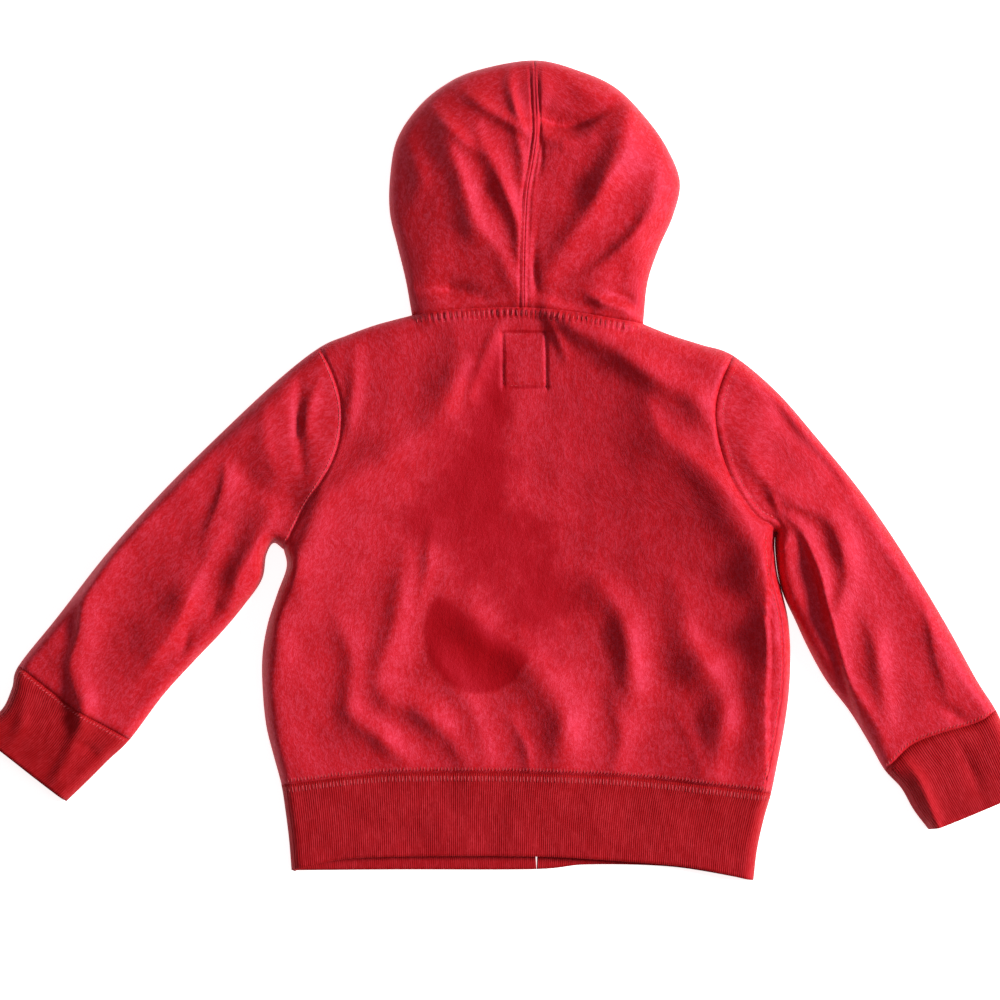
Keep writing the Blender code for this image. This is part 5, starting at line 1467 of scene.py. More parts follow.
class Pattern:
    """The seams and edges as rows of points that neighbouring pieces share."""

    def __init__(self) -> None:
        """Set out every line."""
        self.edges = folded_edges()
        self.armhole_left = Curve(ARMHOLE_LEFT)
        self.armhole_right = Curve(ARMHOLE_RIGHT)
        self.arm_left_at = clock(self.armhole_left.length, STEP_ALONG, TOP_INSETS, TOP_INSETS)
        self.arm_right_at = spread(self.armhole_right.length, len(self.arm_left_at), TOP_INSETS, TOP_INSETS)
        self.low_armhole_left = Curve(FRONT_ARMHOLE_LEFT)
        self.low_armhole_right = Curve(FRONT_ARMHOLE_RIGHT)
        self.low_left_at = clock(self.low_armhole_left.length, LOW_STEP, LOW_INSETS, LOW_INSETS)
        self.low_right_at = spread(self.low_armhole_right.length, len(self.low_left_at), LOW_INSETS, LOW_INSETS)
        self.side_left = self.edges["side_left"].reversed()
        self.side_right = self.edges["side_right"]
        self.side_rows = round(self.side_left.length / STEP_ALONG)
        self.shoulder_left = self.edges["shoulder_left"]
        self.shoulder_right = self.edges["shoulder_right"]
        self.hem_seam = Curve(HEM_SEAM)

    def side_seam(self, rows: int) -> tuple[Array, Array]:
        """The right side from the underarm to the hem.

        Args:
            rows: How many points it has.

        Returns:
            The points of the folded edge and those of the seam.
        """
        at = np.linspace(0.0, 1.0, rows)
        edge = self.side_right.at(at)
        step = SIDE_SEAM_START + (SIDE_SEAM_IN - SIDE_SEAM_START) * eased(at * self.side_right.length / SIDE_SEAM_RUN)
        seam = edge - step[:, None] * left_of(edge)
        seam[0] = self.armhole_right.at(self.arm_right_at[-1 - SEAM_INSET])
        seam[-1] = self.hem_seam.at(1.0 - SIDE_SEAM_IN / self.hem_seam.length)
        return edge, seam

    def neck(self, step: float) -> tuple[Array, Array]:
        """The neck seam in its left and right half, each from the shoulder to the centre.

        Args:
            step: About how far apart the points are.

        Returns:
            The points of both halves.
        """
        curve = Curve(NECK_SEAM)
        centre = curve.share[np.abs(curve.line[:, 0] - HOOD_SEAM[0][0]).argmin()]
        left = clock(curve.length * centre, step, TOP_INSETS)
        right = clock(curve.length * (1.0 - centre), step, TOP_INSETS)
        return curve.at(left * centre), curve.at(1.0 - right * (1.0 - centre))

    def hem_centre(self, side: int) -> float:
        """The share of the front hem seam at which a front ends at the zip.

        Args:
            side: The left (-1) or the right (1).

        Returns:
            The share.
        """
        hem = Curve(FRONT_HEM_SEAM)
        line = Curve(ZIP_LINE).line
        y = ZIP_LINE[1][1]
        x = np.interp(y, line[:, 1], line[:, 0]) + side * np.interp(y, *np.array(ZIP_GAP).T) / 2.0
        return float(np.interp(x, hem.line[:, 0], hem.share))


@dataclass
class Sewn:
    """What all the sewn pieces share.

    Attributes:
        pattern: The lines that they meet along.
        cloth: The shape that they lie in.
        material: Their finish.
        flat: Width and length of the cut; not used.
        area: The flat area of the cut; not used.
    """

    pattern: Pattern
    cloth: Cloth
    material: Material
    flat: Point
    area: float

    def lay(self, grid: Array, low: Any, thickness: float, closed: bool = False, half: int = 0) -> Surface:
        """Shape a grid.

        Args:
            grid: Rows and columns of plane points.
            low: Which columns are on the lower layer.
            thickness: The thickness of the cloth.
            closed: Whether the last column joins the first.
            half: 1 where the piece ends at a folded edge and lies above it, -1 where it lies below it.

        Returns:
            The surface.
        """
        rows, columns = grid.shape[:2]
        marks = np.broadcast_to(low, (rows, columns)).reshape(-1)
        outer, inner = self.cloth.shape(grid.reshape(-1, 2), marks, thickness)
        for side in (outer, inner):
            if half:
                side[:, 2] = half * np.maximum(half * side[:, 2], half * FOLD_RADIUS + SEAM_GAP / 2.0)
        return Surface(outer, inner, grid_quads(rows, columns, closed), cloth_uv(grid))

    def finish(
        self, name: str, surface: Surface, slot: str = "fleece", rests_on: Sequence[str] = ("ground",)
    ) -> Item:
        """Close a piece, hide the CAD node that it replaces, and log its faces and area.

        Args:
            name: Its name, which is that of the CAD node that it replaces and "_cloth".
            surface: Its shape.
            slot: The record's material slot; not used.
            rests_on: What it lies on; not used.

        Returns:
            The piece.
        """
        piece = walled(name, surface, self.material)
        node = name.removesuffix("_cloth")
        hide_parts(node)
        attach(piece, GARMENT)
        faces = piece.data.polygons
        log.info("%s: %d faces, %.4f m2", name, len(faces), sum(face.area for face in faces))
        return piece


@dataclass
class BackPanel(Sewn):
    """The back, which turns down to the left side and ends at the seam on the right side."""

    flat: Point = (0.335, 0.305)
    area: float = 0.092

    def make(self) -> Item:
        """Cut and shape the panel.

        Returns:
            The piece.
        """
        lines = self.pattern
        left_top = lines.shoulder_left.at(clock(lines.shoulder_left.length, STEP_SHOULDER, TOP_INSETS))
        right_top = lines.shoulder_right.at(clock(lines.shoulder_right.length, STEP_SHOULDER))
        neck_left, neck_right = lines.neck(STEP_ACROSS)
        neck = aside(np.vstack([neck_left, neck_right[-2::-1]]), -1)
        first = np.vstack([left_top[:-1], neck, right_top[1:]])
        hem_at = spread(lines.hem_seam.length, len(first), TOP_INSETS, (SIDE_SEAM_IN,))
        last = aside(lines.hem_seam.at(hem_at), 1)
        rows = np.linspace(0.0, 1.0, lines.side_rows)
        left = np.vstack([aside(lines.armhole_left.at(lines.arm_left_at), 1), lines.side_left.at(rows)[1:]])
        arm = aside(lines.armhole_right.at(lines.arm_right_at[: len(lines.arm_right_at) - SEAM_INSET]), -1)
        seam = lines.side_seam(lines.side_rows + SEAM_INSET)[1]
        right = np.vstack([arm, aside(seam, -1)[1:]])
        grid = meet(first, last, left, right, (SHOULDER_LEFT[0], SHOULDER_RIGHT[-1], HEM_SEAM[0], seam[-1]))
        surface = self.lay(grid, np.zeros(grid.shape[1], bool), FLEECE_WALL, half=1)
        return self.finish("back_cloth", surface, rests_on=("front_left", "front_right"))


@dataclass
class FrontPanels(Sewn):
    """The two fronts, flat under the back, with the zip between them."""

    flat: Point = (0.170, 0.305)
    area: float = 0.042

    def make(self) -> list[Item]:
        """Cut and shape both panels."""
        return [self.panel(-1), self.panel(1)]

    def panel(self, side: int) -> Item:
        """Cut and shape one front.

        Args:
            side: The left (-1) or the right (1).

        Returns:
            The piece.
        """
        lines = self.pattern
        extra = 0 if side < 0 else 1  # the right front's side starts one row higher, next to its seam
        rows = len(lines.low_left_at) + lines.side_rows - 1 + extra
        zip_line = Curve(ZIP_LINE[1:]).reversed().at(np.linspace(0.0, 1.0, rows))
        gap = np.interp(zip_line[:, 1], *np.array(ZIP_GAP).T) / 2.0
        centre = zip_line + side * np.column_stack([gap, np.zeros(len(gap))])
        if side < 0:
            neckline, shoulder = Curve(NECKLINE_LEFT), lines.shoulder_left
            armhole = aside(lines.low_armhole_left.at(lines.low_left_at), 1)
            edge = lines.side_left.at(np.linspace(0.0, 1.0, lines.side_rows))
            start, corner, hem_end = SHOULDER_LEFT[0], HEM_SEAM[0], 0.0
        else:
            neckline, shoulder = Curve(NECKLINE_RIGHT), lines.shoulder_right.reversed()
            armhole = aside(lines.low_armhole_right.at(lines.low_right_at), -1)
            edge = lines.side_seam(lines.side_rows + extra)[0]
            start, corner, hem_end = SHOULDER_RIGHT[-1], HEM_SEAM[-1], 1.0
        top = shoulder.at(clock(shoulder.length, LOW_STEP, LOW_INSETS))
        neck = aside(neckline.at(clock(neckline.length, LOW_STEP, LOW_INSETS)), side)
        first = np.vstack([top[:-1], neck])
        hem = Curve(FRONT_HEM_SEAM)
        middle = lines.hem_centre(side)
        at = spread(hem.length * abs(middle - hem_end), len(first), LOW_INSETS)
        last = aside(hem.at(hem_end + (middle - hem_end) * at), -side)
        left = np.vstack([armhole, edge[1:]])
        centre[0] = neckline.line[-1]
        centre[-1] = hem.at(middle)
        grid = meet(first, last, left, centre, (start, centre[0], corner, centre[-1]))
        surface = self.lay(grid, np.ones(grid.shape[1], bool), FLEECE_WALL, half=-1)
        if side > 0:
            surface = self.with_side(grid, surface)
        return self.finish(f"front_{hand(side)}_cloth", surface)

    def with_side(self, grid: Array, surface: Surface) -> Surface:
        """Carry the right front up round the side to its seam on the upper layer.

        Args:
            grid: The plane points of the front.
            surface: Its shape so far.

        Returns:
            The shape with the strip up the side.
        """
        lines = self.pattern
        rows, columns = grid.shape[:2]
        under = len(lines.low_right_at) - 1
        low_edge = np.arange(under, rows) * columns
        near = grid[under:, 0]
        far = aside(lines.side_seam(len(near))[1], 1)
        far[-1, 1] += SEAM_GAP / 2.0
        strip = near[:, None] + np.array(SIDE_STEPS)[None, :, None] * (far - near)[:, None]
        flat = strip.reshape(-1, 2)
        outer, inner = self.cloth.shape(flat, np.zeros(len(flat), bool), FLEECE_WALL)
        new = len(surface.outer) + np.arange(len(low_edge) * len(SIDE_STEPS)).reshape(len(low_edge), -1)
        index = np.column_stack([low_edge, new])
        a, b = index[:-1, :-1].ravel(), index[:-1, 1:].ravel()
        c, d = index[1:, :-1].ravel(), index[1:, 1:].ravel()
        width = np.linalg.norm(strip - near[:, None], axis=2)
        uv = surface.uv.reshape(rows, columns, 2)[under:, 0]
        strip_uv = uv[:, None] - np.stack([width, np.zeros_like(width)], axis=-1)
        return Surface(
            np.vstack([surface.outer, outer]),
            np.vstack([surface.inner, inner]),
            np.vstack([surface.quads, np.column_stack([a, c, d, b])]),
            np.vstack([surface.uv, strip_uv.reshape(-1, 2)]),
        )


@dataclass
class Tube(Sewn):
    """A sleeve or cuff: a closed tube between two folded edges, on the left (-1) or the right (1)."""

    side: int = -1

    def folds(self, part: str) -> tuple[Curve, Curve]:
        """The outer and the inner folded edge of the sleeve or the cuff, both towards the hand."""
        outside, inside = (self.pattern.edges[f"{part}_{way}_{hand(self.side)}"] for way in ("outer", "inner"))
        return (outside.reversed(), inside) if self.side < 0 else (outside, inside.reversed())

    def grid(
        self, outside: Array, inside: Array, starts: Sequence[Array], ends: Sequence[Array]
    ) -> tuple[Array, Array]:
        """Run a grid down both layers.

        Args:
            outside: The folded edge on the outer side.
            inside: The folded edge on the inner side.
            starts: The end rows at the start, above and below.
            ends: The same at the other end.

        Returns:
            The grid, and which of its columns are low.
        """
        layers = []
        for start, end in zip(starts, ends):
            near = np.linspace(0.0, 1.0, len(outside))[:, None]
            share = ((1.0 - near) * chord_shares(start) + near * chord_shares(end))[..., None]
            grid = (1.0 - share) * outside[:, None] + share * inside[:, None]
            fade_in = 1.0 - eased(near / SEAM_FADE)
            fade_out = 1.0 - eased((1.0 - near) / SEAM_FADE)
            grid += fade_in[..., None] * (start - grid[0]) + fade_out[..., None] * (end - grid[-1])
            layers.append(grid)
        top, low = layers
        low[:, 0] = top[:, 0]
        low[:, -1] = top[:, -1]
        marks = np.array([False] * top.shape[1] + [True] * (low.shape[1] - 2))
        return np.concatenate([top, low[:, -2:0:-1]], axis=1), marks


@dataclass
class Sleeve(Tube):
    """A sleeve from its armhole to the seam of its cuff."""

    flat: Point = (0.235, 0.275)
    area: float = 0.046

    def make(self) -> Item:
        """Cut and shape the sleeve.

        Returns:
            The piece.
        """
        lines, side = self.pattern, self.side
        outside, inside = self.folds("sleeve")
        if side < 0:
            arm, low_arm, seam = lines.armhole_left, lines.low_armhole_left, Curve(CUFF_SEAM_LEFT)
        else:
            arm, low_arm, seam = lines.armhole_right, lines.low_armhole_right, Curve(CUFF_SEAM_RIGHT)
        top_at = clock(arm.length, SLEEVE_STEP, TOP_INSETS, TOP_INSETS)
        low_at = clock(low_arm.length, LOW_STEP, LOW_INSETS, LOW_INSETS)
        starts = (aside(arm.at(top_at), side), aside(low_arm.at(low_at), side))
        ends = (
            aside(seam.at(spread(seam.length, len(top_at), TOP_INSETS, TOP_INSETS)), -side),
            aside(seam.at(spread(seam.length, len(low_at), LOW_INSETS, LOW_INSETS)), -side),
        )
        rows = np.linspace(0.0, 1.0, round(outside.length / SLEEVE_ROW_STEP))
        grid, marks = self.grid(outside.at(rows), inside.at(rows**UNDERARM_ROWS), starts, ends)
        surface = self.lay(grid, marks, FLEECE_WALL, closed=True)
        return self.finish(f"sleeve_{hand(side)}_cloth", surface)


@dataclass
class Cuff(Tube):
    """A rib cuff from its seam to its open end."""

    flat: Point = (0.180, 0.050)
    area: float = 0.0088

    def make(self) -> Item:
        """Knit and shape the cuff.

        Returns:
            The piece.
        """
        side = self.side
        outside, inside = self.folds("cuff")
        if side < 0:
            seam, end = Curve(CUFF_SEAM_LEFT), Curve(CUFF_END_LEFT)
        else:
            seam, end = Curve(CUFF_SEAM_RIGHT), Curve(CUFF_END_RIGHT)
        top_at = clock(seam.length, RIB_STEP, RIB_INSETS, RIB_INSETS)
        low_at = clock(seam.length, RIB_LOW_STEP, LOW_INSETS, LOW_INSETS)
        starts = (aside(seam.at(top_at), side), aside(seam.at(low_at), side))
        ends = (end.at(top_at), end.at(low_at))
        rows = np.linspace(0.0, 1.0, CUFF_ROWS)
        grid, marks = self.grid(outside.at(rows), inside.at(rows), starts, ends)
        surface = self.lay(grid, marks, RIB_WALL, closed=True)
        ribbed(surface, grid.shape[:2], closed=True)
        return self.finish(f"cuff_{hand(side)}_cloth", surface, "rib")


def ribbed(surface: Surface, shape: tuple[int, int], closed: bool) -> None:
    """Raise the wales of a rib knit on the outer side, along the columns of its grid.

    Args:
        surface: The surface, which is changed.
        shape: The rows and columns of its grid.
        closed: Whether the last column joins the first.
    """
    rows, columns = shape
    run = surface.uv.reshape(rows, columns, 2)[0, :, 0]
    wave = RIB_DEPTH * np.cos(2.0 * math.pi * run / RIB_PITCH)
    points = surface.outer.reshape(rows, columns, 3)
    if closed:
        across = np.roll(points, -1, axis=1) - np.roll(points, 1, axis=1)
    else:
        across = np.gradient(points, axis=1)
    along = np.gradient(points, axis=0)
    normal = np.cross(across, along)
    normal /= np.linalg.norm(normal, axis=2, keepdims=True) + TINY
    outward = points - surface.inner.reshape(rows, columns, 3)
    normal *= np.sign((normal * outward).sum(-1, keepdims=True))
    moved = points + normal * wave[None, :, None]
    moved[..., 2] = np.maximum(moved[..., 2], 0.0)
    surface.outer = moved.reshape(-1, 3)


@dataclass
class HemBand(Sewn):
    """The rib band round the hem, open at the centre front."""

    flat: Point = (0.610, 0.060)
    area: float = 0.0345

    def make(self) -> Item:
        """Knit and shape the band.

        Returns:
            The piece.
        """
        lines = self.pattern
        rows = np.linspace(0.0, 1.0, HEM_ROWS)
        left = lines.edges["hem_side_left"].reversed().at(rows)
        right = lines.edges["hem_side_right"].at(rows)
        shares = clock(lines.hem_seam.length, RIB_STEP, RIB_INSETS, RIB_INSETS)
        first = aside(lines.hem_seam.at(shares), -1)
        last = Curve(HEM_EDGE).at(shares)
        last[0], last[-1] = left[-1], right[-1]
        over = meet(first, last, left, right, (HEM_SEAM[0], HEM_SEAM[-1], left[-1], right[-1]))
        grids = [over]
        seam, edge = Curve(FRONT_HEM_SEAM), Curve(FRONT_HEM_EDGE)
        for side, outline, at_side in ((-1, left, 0.0), (1, right, 1.0)):
            middle = lines.hem_centre(side)
            at = clock(seam.length * abs(middle - at_side), RIB_LOW_STEP, LOW_INSETS)
            top = aside(seam.at(at_side + (middle - at_side) * at), side)
            zip_y = edge.at(middle)[1]
            x = ZIP_LINE[0][0] + side * ZIP_GAP[0][1] / 2.0
            end_share = float(np.interp(x, edge.line[:, 0], edge.share))
            bottom = edge.at(at_side + (end_share - at_side) * at)
            bottom[0] = outline[-1]
            bottom[-1] = (x, min(zip_y, bottom[-1][1]))
            centre = seam.at(middle) + rows[:, None] * (bottom[-1] - seam.at(middle))
            low = meet(top, bottom, outline, centre, (outline[0], centre[0], bottom[0], bottom[-1]))
            low[:, 0] = over[:, 0] if side < 0 else over[:, -1]
            grids = [low[:, :0:-1], *grids] if side < 0 else [*grids, low[:, 1:]]
        grid = np.concatenate(grids, axis=1)
        marks = np.array([True] * grids[0].shape[1] + [False] * over.shape[1] + [True] * grids[2].shape[1])
        surface = self.lay(grid, marks, RIB_WALL)
        ribbed(surface, grid.shape[:2], closed=False)
        return self.finish("hem_band_cloth", surface, "rib")


@dataclass
class Hood(Sewn):
    """Half of the hood, from the centre seam over its folded edge and back under to the face opening."""

    side: int = -1
    flat: Point = (0.200, 0.190)
    area: float = 0.0275

    def make(self) -> Item:
        """Cut and shape the panel.

        Returns:
            The piece.
        """
        lines, side = self.pattern, self.side
        neck_left, neck_right = lines.neck(HOOD_STEP)
        neck = (neck_left if side < 0 else neck_right)[::-1]
        outline = lines.edges[f"hood_{hand(side)}"]
        if side > 0:
            outline = outline.reversed()
        neckline = Curve(NECKLINE_LEFT if side < 0 else NECKLINE_RIGHT)
        rows = np.linspace(0.0, 1.0, round(outline.length / HOOD_ROW_STEP))
        edge = outline.at(rows)
        face = Curve(FACE_EDGE_LEFT if side < 0 else FACE_EDGE_RIGHT).at(rows)
        first = aside(neck, side)
        seam = aside(Curve(HOOD_SEAM).at(rows), -side)
        crown = Curve([HOOD_SEAM[-1], HOOD_EDGE_LEFT[-1]])
        over = crown.at(spread(crown.length, len(neck), (0.0,), TOP_INSETS))
        top = meet(first, aside(over, -side), seam, edge, (neck[0], edge[0], over[0], edge[-1]))
        low_at = clock(neckline.length, HOOD_LOW_STEP, LOW_INSETS)
        low_first = neckline.at(low_at)
        under_line = Curve([HOOD_EDGE_LEFT[-1], FACE_EDGE_LEFT[-1]])
        under = under_line.at(spread(under_line.length, len(low_at), LOW_INSETS))
        corners = (edge[0], face[0], edge[-1], face[-1])
        low = meet(aside(low_first, -side), aside(under, side), edge, face, corners)
        low[:, 0] = top[:, -1]
        grid = np.concatenate([top, low[:, 1:]], axis=1)
        marks = np.array([False] * top.shape[1] + [True] * (low.shape[1] - 1))
        surface = self.lay(grid, marks, FLEECE_WALL)
        return self.finish(f"hood_{hand(side)}_cloth", surface)


# ---------------------------------------------------------------------------------------------------------------
# Sewing and zip, which repeat along a line
# ---------------------------------------------------------------------------------------------------------------


@dataclass
class Tree:
    """A Geometry Nodes tree that turns a line into something that repeats along it."""

    name: str
    inputs: tuple[tuple[str, str], ...]
    tree: Any = field(init=False)
    wiring: Any = field(init=False)
    given: Any = field(init=False)

    def __post_init__(self) -> None:
        """Start the tree."""
        self.tree = bpy.data.node_groups.new(self.name, "GeometryNodeTree")
        self.tree.interface.new_socket("Geometry", in_out="INPUT", socket_type="NodeSocketGeometry")
        for label, kind in self.inputs:
            self.tree.interface.new_socket(label, in_out="INPUT", socket_type=f"NodeSocket{kind}")
        self.tree.interface.new_socket("Geometry", in_out="OUTPUT", socket_type="NodeSocketGeometry")
        self.wiring = Wiring(self.tree)
        self.given = self.wiring.add("NodeGroupInput").outputs

    def along(self) -> Socket:
        """Points along the line, a Spacing apart."""
        curve = self.wiring.add("GeometryNodeMeshToCurve", {"Mesh": self.given["Geometry"]}).outputs[0]
        inputs = {"Curve": curve, "Length": self.given["Spacing"]}
        return self.wiring.add("GeometryNodeResampleCurve", inputs, mode="LENGTH").outputs[0]

    def end(self, inputs: dict[str, Socket], material: str) -> None:
        """Put instances on points and turn them into one mesh with its material.

        Args:
            inputs: The points, what stands on them, and how it is turned and sized.
            material: The name of the input that holds the material.
        """
        placed = self.wiring.add("GeometryNodeInstanceOnPoints", inputs).outputs[0]
        real = self.wiring.add("GeometryNodeRealizeInstances", {"Geometry": placed}).outputs[0]
        smooth = self.wiring.add("GeometryNodeSetShadeSmooth", {"Geometry": real}).outputs[0]
        inputs = {"Geometry": smooth, "Material": self.given[material]}
        finished = self.wiring.add("GeometryNodeSetMaterial", inputs).outputs[0]
        self.wiring.add("NodeGroupOutput", {"Geometry": finished})

    def run(self, name: str, line: bpy.types.Mesh, values: dict[str, Any]) -> Item:
        """Build a piece.

        Args:
            name: The name of the piece.
            line: Edges for it to follow.
            values: The tree's inputs by name.

        Returns:
            The piece as a plain mesh.
        """
        item = shown(name, line)
        change = item.modifiers.new(self.name, "NODES")
        change.node_group = self.tree
        for socket in self.tree.interface.items_tree:
            if socket.in_out == "INPUT" and socket.name in values:
                change[socket.identifier] = values[socket.name]
        bpy.context.view_layer.update()
        graph = bpy.context.evaluated_depsgraph_get()
        made = bpy.data.meshes.new_from_object(item.evaluated_get(graph))
        item.modifiers.clear()
        item.data = made
        item.data.name = name
        return item


def stitch_tree() -> Tree:
    """Stitches along lines whose points carry the direction that stands on the cloth.

    Returns:
        The tree.
    """
    kinds = (
        ("Spacing", "Float"), ("Length", "Float"), ("Thickness", "Float"), ("Turn", "Float"), ("Wander", "Float"),
        ("Seed", "Int"), ("Thread", "Material"),
    )
    tree = Tree("stitch row", kinds)
    wiring, given = tree.wiring, tree.given
    up = wiring.add("GeometryNodeInputNamedAttribute", {"Name": "up"}, data_type="FLOAT_VECTOR").outputs[0]
    tangent = wiring.add("GeometryNodeInputTangent").outputs[0]
    axes = wiring.add(
        "FunctionNodeAxesToRotation", {"Primary Axis": up, "Secondary Axis": tangent},
        primary_axis="Z", secondary_axis="X",
    ).outputs[0]
    index = wiring.add("GeometryNodeInputIndex").outputs[0]
    inputs = {2: wiring.times(given["Wander"], -1.0), 3: given["Wander"], 7: index, 8: given["Seed"]}
    chance = wiring.add("FunctionNodeRandomValue", inputs, data_type="FLOAT").outputs[1]
    turn = wiring.xyz(0.0, 0.0, wiring.math("ADD", given["Turn"], chance))
    spin = wiring.add("FunctionNodeEulerToRotation", {0: turn}).outputs[0]
    inputs = {"Rotation": axes, "Rotate By": spin}
    rotation = wiring.add("FunctionNodeRotateRotation", inputs, rotation_space="LOCAL").outputs[0]
    stitch = wiring.add("GeometryNodeMeshUVSphere", {"Segments": 8, "Rings": 6, "Radius": 0.5}).outputs[0]
    size = wiring.xyz(given["Length"], given["Thickness"], given["Thickness"])
    tree.end({"Points": tree.along(), "Instance": stitch, "Rotation": rotation, "Scale": size}, "Thread")
    return tree


def teeth_tree() -> Tree:
    """Interlocked teeth along a line, in turn a little to its left and its right.

    Returns:
        The tree.
    """
    kinds = (("Spacing", "Float"), ("Width", "Float"), ("Height", "Float"), ("Shift", "Float"), ("Nylon", "Material"))
    tree = Tree("zip chain", kinds)
    wiring, given = tree.wiring, tree.given
    index = wiring.add("GeometryNodeInputIndex").outputs[0]
    odd = wiring.math("SUBTRACT", wiring.times(wiring.math("MODULO", index, 2.0), 2.0), 1.0)
    shift = wiring.xyz(wiring.times(odd, given["Shift"]))
    moved = wiring.add("GeometryNodeSetPosition", {"Geometry": tree.along(), "Offset": shift}).outputs[0]
    size = wiring.xyz(given["Width"], wiring.times(given["Spacing"], 0.86), given["Height"])
    inputs = {"Vertices X": 4, "Vertices Y": 3, "Vertices Z": 3, "Size": size}
    cube = wiring.add("GeometryNodeMeshCube", inputs).outputs[0]
    tooth = wiring.add("GeometryNodeSubdivisionSurface", {"Mesh": cube, "Level": 1}).outputs[0]
    tree.end({"Points": moved, "Instance": tooth}, "Nylon")
    return tree


class Turn(Enum):
    """Which way a stitch lies against its row."""

    ALONG = 0.0
    ACROSS = math.pi / 2.0
    SLANTED = 0.9


@dataclass(frozen=True)
class Row:
    """A row of stitches.

    Attributes:
        name: The name of its piece.
        curves: The lines that it follows.
        spacing: How far apart its stitches are, in millimetres.
        length: How long a stitch is, in millimetres.
        thickness: How thick the thread is, in millimetres.
        turn: Which way a stitch lies.
        wander: How far a stitch may stray from that, in radians.
        sink: How deep the middle of a stitch lies under the top of the cloth.
        slot: The record's slot of the cloth that it is on; not used.
    """

    name: str
    curves: tuple[Curve, ...]
    spacing: float
    length: float
    thickness: float
    turn: Turn = Turn.ALONG
    wander: float = 0.06
    sink: float = 0.00005
    slot: str = "fleece"


def stitch_rows() -> list[Row]:
    """Every row of stitches on the garment.

    Returns:
        The rows.
    """
    neck, hem = Curve(NECK_SEAM), Curve(HEM_SEAM)
    hood = Curve(HOOD_SEAM + mm((21.2, 259)))
    left, right = Curve(ARMHOLE_LEFT), Curve(ARMHOLE_RIGHT)
    side = Curve(SIDE_RIGHT).stretch(0.02, 1.0)
    pucker = neck.shifted(-0.0036).stretch(0.02, 0.98)
    over, under = (hem.shifted(distance).stretch(0.01, 0.99) for distance in (0.0026, -0.0034))
    cuffs = tuple(Curve(seam).shifted(-0.0020).stretch(0.04, 0.96) for seam in (CUFF_SEAM_LEFT, CUFF_SEAM_RIGHT))
    return [
        Row("stitches_neck_pucker", (pucker,), 3.5, 4.2, 0.6, Turn.ACROSS, 0.18),
        Row("stitches_neck", (neck.shifted(-0.0074).stretch(0.01, 0.99),), 3.0, 2.6, 0.6),
        Row("stitches_label", label_sides(), 2.7, 2.3, 0.5),
        Row("stitches_hood", (hood.shifted(0.0026), hood.shifted(-0.0026)), 2.9, 2.5, 0.5),
        Row("stitches_armhole_left", (left.shifted(-0.0016).stretch(0.03, 0.97),), 2.6, 2.5, 0.7),
        Row("stitches_armhole_right", (right.shifted(0.0050).stretch(0.03, 0.93),), 3.0, 2.2, 0.7),
        Row("stitches_hem_under", (under,), 2.2, 4.2, 0.6, Turn.ACROSS, 0.14, slot="rib"),
        Row("stitches_hem_over", (over,), 2.2, 3.0, 0.5, Turn.ACROSS, 0.14),
        Row("stitches_cuffs", cuffs, 2.4, 2.4, 0.6, Turn.SLANTED, 0.14),
        Row("stitches_side_right", (side.shifted(-0.0068),), 3.0, 2.4, 0.5),
    ]


@dataclass
class Sewing:
    """Lays rows of stitches on the finished cloth."""

    cloth: Cloth
    thread: Material
    tree: Tree = field(default_factory=stitch_tree)

    def path(self, row: Row) -> bpy.types.Mesh:
        """The lines of a row, lifted onto the cloth.

        Args:
            row: The row.

        Returns:
            The lines, with the direction that stands on the cloth at each point.
        """
        places, edges, first = [], [], 0
        for curve in row.curves:
            points = curve.at(np.linspace(0.0, 1.0, max(3, round(curve.length / PATH_STEP))))
            places.append(points)
            edges += [(first + k, first + k + 1) for k in range(len(points) - 1)]
            first += len(points)
        flat = np.vstack(places)
        up = self.cloth.up(flat)
        place = np.column_stack([flat, self.cloth.top(flat)]) - up * row.sink
        data = bpy.data.meshes.new(row.name)
        data.from_pydata(place.tolist(), edges, [])
        layer = data.attributes.new("up", "FLOAT_VECTOR", "POINT")
        layer.data.foreach_set("vector", up.astype(np.float32).ravel())
        return data

    def sew(self, row: Row, seed: int) -> Item:
        """Sew one row.

        Args:
            row: The row.
            seed: What its random turns start from.

        Returns:
            The piece.
        """
        spacing, length, thickness = mm((row.spacing, row.length, row.thickness))[0]
        values = {
            "Spacing": spacing, "Length": length, "Thickness": thickness, "Turn": row.turn.value,
            "Wander": row.wander, "Seed": seed, "Thread": self.thread,
        }
        piece = self.tree.run(row.name, self.path(row), values)
        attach(piece, GARMENT)
        log.info("%s: %d faces", row.name, len(piece.data.polygons))
        return piece


